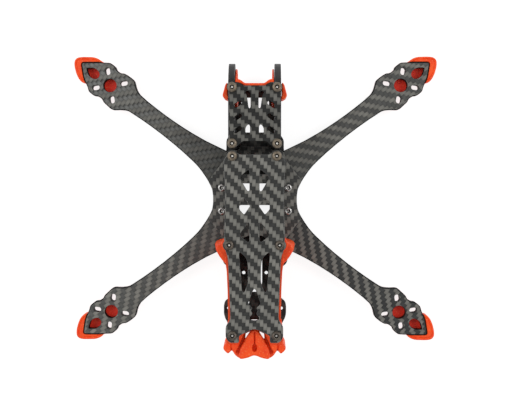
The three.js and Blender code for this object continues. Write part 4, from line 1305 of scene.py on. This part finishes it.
boolean(wing, [loft("clear", [round_ring(2.8, 0, 48), round_ring(2.8, 60, 48)], TR, origin=(14.75, -25.6))], "DIFFERENCE")
guard = melt(gather("side_guard_right_print", [strip, wing, sleeve], TR[:1]), 0.24, 2, TR[:1])
guard_left = flip_object(guard, "side_guard_left_print", 0)
stand_in(guard, "side_guard_right")
stand_in(guard_left, "side_guard_left")

# ------------------------------------------------------------------ soft antenna tail
t0, t1 = zs("antenna_tail")
TAIL_LOW = both([
    (0, -75.2), (1.5, -75.8), (2.8, -76.9), (5.2, -80.3), (5.0, -77.6), (9.4, -77.6), (10.0, -83.2), (16.4, -83.4),
    (17.9, -85.4), (18.7, -87.4), (18.3, -88.6), (15.9, -90.9), (14.9, -90.6), (13.6, -89.0), (12.9, -89.9),
    (11.4, -92.2), (9.5, -93.6), (8.2, -93.9), (5.8, -93.4), (3.4, -92.8), (1.6, -91.9), (0, -91.5),
])
WEDGE = both([
    (0, -75.3), (1.4, -75.9), (2.4, -76.7), (4.3, -79.4), (6.4, -83.2), (8.6, -88.0), (9.4, -90.8), (9.2, -92.6),
    (8.2, -93.5), (5.8, -93.1), (3.4, -92.5), (1.6, -91.6), (0, -91.2),
])
FLANK = [
    (6.2, -77.6), (6.6, -79.6), (8.2, -83.4), (10.2, -88.0), (11.1, -91.0), (12.0, -90.4), (13.1, -88.6), (13.6, -85.0),
    (12.6, -83.2), (10.0, -82.4), (9.6, -77.6),
]
EAR = [(13.7, -83.6), (16.4, -83.6), (17.9, -85.6), (18.6, -87.4), (18.2, -88.5), (15.9, -90.7), (15.0, -90.3), (13.9, -88.8)]
HOOK = [(9.0, -74.0), (16.6, -74.0), (16.8, -84.0), (9.0, -84.0)]
low = prism("tail_low", soften(TAIL_LOW, FINE), [], t0 + 4.0, t1 - 6.0, 0.5, T)
wedge = prism("tail_wedge", soften(WEDGE, (0.9, 0.4, 0.2)), [], t1 - 8.0, t1 - 0.9, 1.1, T, steps=4)
parts = [low]
# central groove with a round end, and round wells at the ends of the outer grooves
boolean(wedge, [prism("slit", slot(0.1, -81.2, 3.8, 0.45, math.pi / 2, 10), [], t1 - 2.8, 60, 0.01, T, steps=1)], "DIFFERENCE")
boolean(wedge, [prism("key", slot(0.1, -86.6, 0.8, 1.5, math.pi / 2, 14), [], t1 - 4.2, 60, 0.01, T, steps=1)], "DIFFERENCE")
parts.append(wedge)
for s in (1, -1):
    m = (lambda q: q) if s > 0 else mirror_x
    parts.append(prism("flank", soften(m(FLANK), (0.6, 0.3, 0.15)), [], t1 - 8.0, t1 - 2.2, 0.9, T, steps=4))
    parts.append(prism("ear", soften(m(EAR), (0.7, 0.3, 0.15)), [], t0 + 8.0, t1 - 3.4, 0.9, T, steps=4))
    parts.append(prism("hook", soften(m(HOOK), FINE), [], t0, t1, 0.3, T))
tail = gather("antenna_tail_print", parts, T[:1])
tail = melt(tail, 0.24, 0, T[:1])
tools = []
for s in (1, -1):
    tools.append(loft("clear", [round_ring(2.8, -1, 48), round_ring(2.8, 60, 48)], T, origin=(s * 12.9, -78.6)))
    tools.append(loft("tube", [round_ring(1.2, t1 - 6.0, 32), round_ring(1.2, 60, 32)], T, origin=(s * 9.9, -89.2)))
    # a slit beside the ridge's nose runs down and back through the body
    tri = [(2.3, -75.3), (6.0, -81.0), (5.6, -76.8)]
    tri = [(s * x, y) for x, y in tri]
    if area(tri) < 0:
        tri = tri[::-1]
    rings = [[(x, y + 0.2 * (z - TOP_Z[1]), z) for x, y in tri] for z in (-2.0, 60.0)]
    tools.append(loft("slit", rings, T))
tools.append(loft("tube", [round_ring(1.15, t1 - 5.0, 32), round_ring(1.15, 60, 32)], T, origin=(0.1, -87.2)))
boolean(tail, tools, "DIFFERENCE")
tail = melt(tail, 0.24, 2, T[:1])
stand_in(tail, "antenna_tail")

# ------------------------------------------------------------------ camera
cam = bpy.data.cameras.new("camera")
cam.sensor_fit = "HORIZONTAL"
cam.sensor_width = 36.0
cam.lens = 64.02
cam.clip_start = 0.01
cam.clip_end = 20.0
cam_ob = bpy.data.objects.new("camera", cam)
bpy.context.scene.collection.objects.link(cam_ob)
R = (
    Matrix.Rotation(math.radians(2.503), 3, "X")
    @ Matrix.Rotation(math.radians(-0.712), 3, "Y")
    @ Matrix.Rotation(math.radians(-0.039), 3, "Z")
)
cam_ob.matrix_world = (
    Matrix.Translation(Vector((0.0053, (20.2 + DY) / 1000.0, (549.6 + ARM_Z[1]) / 1000.0)))
    @ R.transposed().to_4x4()
)
bpy.context.scene.camera = cam_ob

# ------------------------------------------------------------------ floor and light
fm = Mat("floor")
fn = fm.noise(fm.coords(), 3.0, 2.0)
fm.set(color=fm.mix_color(fn, grey(0.24), grey(0.26)), rough=0.9)
fm.bsdf.inputs["Specular IOR Level"].default_value = 0.1
fm.bsdf.inputs["Emission Color"].default_value = (1.0, 1.0, 1.0, 1.0)
fm.bsdf.inputs["Emission Strength"].default_value = 0.86
verts = [(-6, -6, 0), (6, -6, 0), (6, 6, 0), (-6, 6, 0)]
floor = new_object("floor", verts, [(0, 1, 2, 3)], [0], [False], [fm.m])

scene = bpy.context.scene
scene.view_settings.view_transform = "Standard"
scene.view_settings.look = "None"
scene.view_settings.exposure = 0.0
world = bpy.data.worlds.new("studio")
scene.world = world
world.use_nodes = True
bg = world.node_tree.nodes["Background"]
bg.inputs["Color"].default_value = (1.0, 1.0, 1.0, 1.0)
bg.inputs["Strength"].default_value = 0.60


def area_light(name, loc, look, size, power, size_y=None):
    l = bpy.data.lights.new(name, "AREA")
    l.energy = power
    l.shape = "RECTANGLE"
    l.size = size
    l.size_y = size_y or size
    o = bpy.data.objects.new(name, l)
    o.location = loc
    d = Vector(look) - Vector(loc)
    o.rotation_euler = d.to_track_quat("-Z", "Y").to_euler()
    bpy.context.scene.collection.objects.link(o)
    return o


area_light("left", (-0.9, 0.3, 0.95), (0, 0, 0), 0.55, 5.6)
area_light("right", (0.9, 0.3, 0.95), (0, 0, 0), 0.55, 5.6)
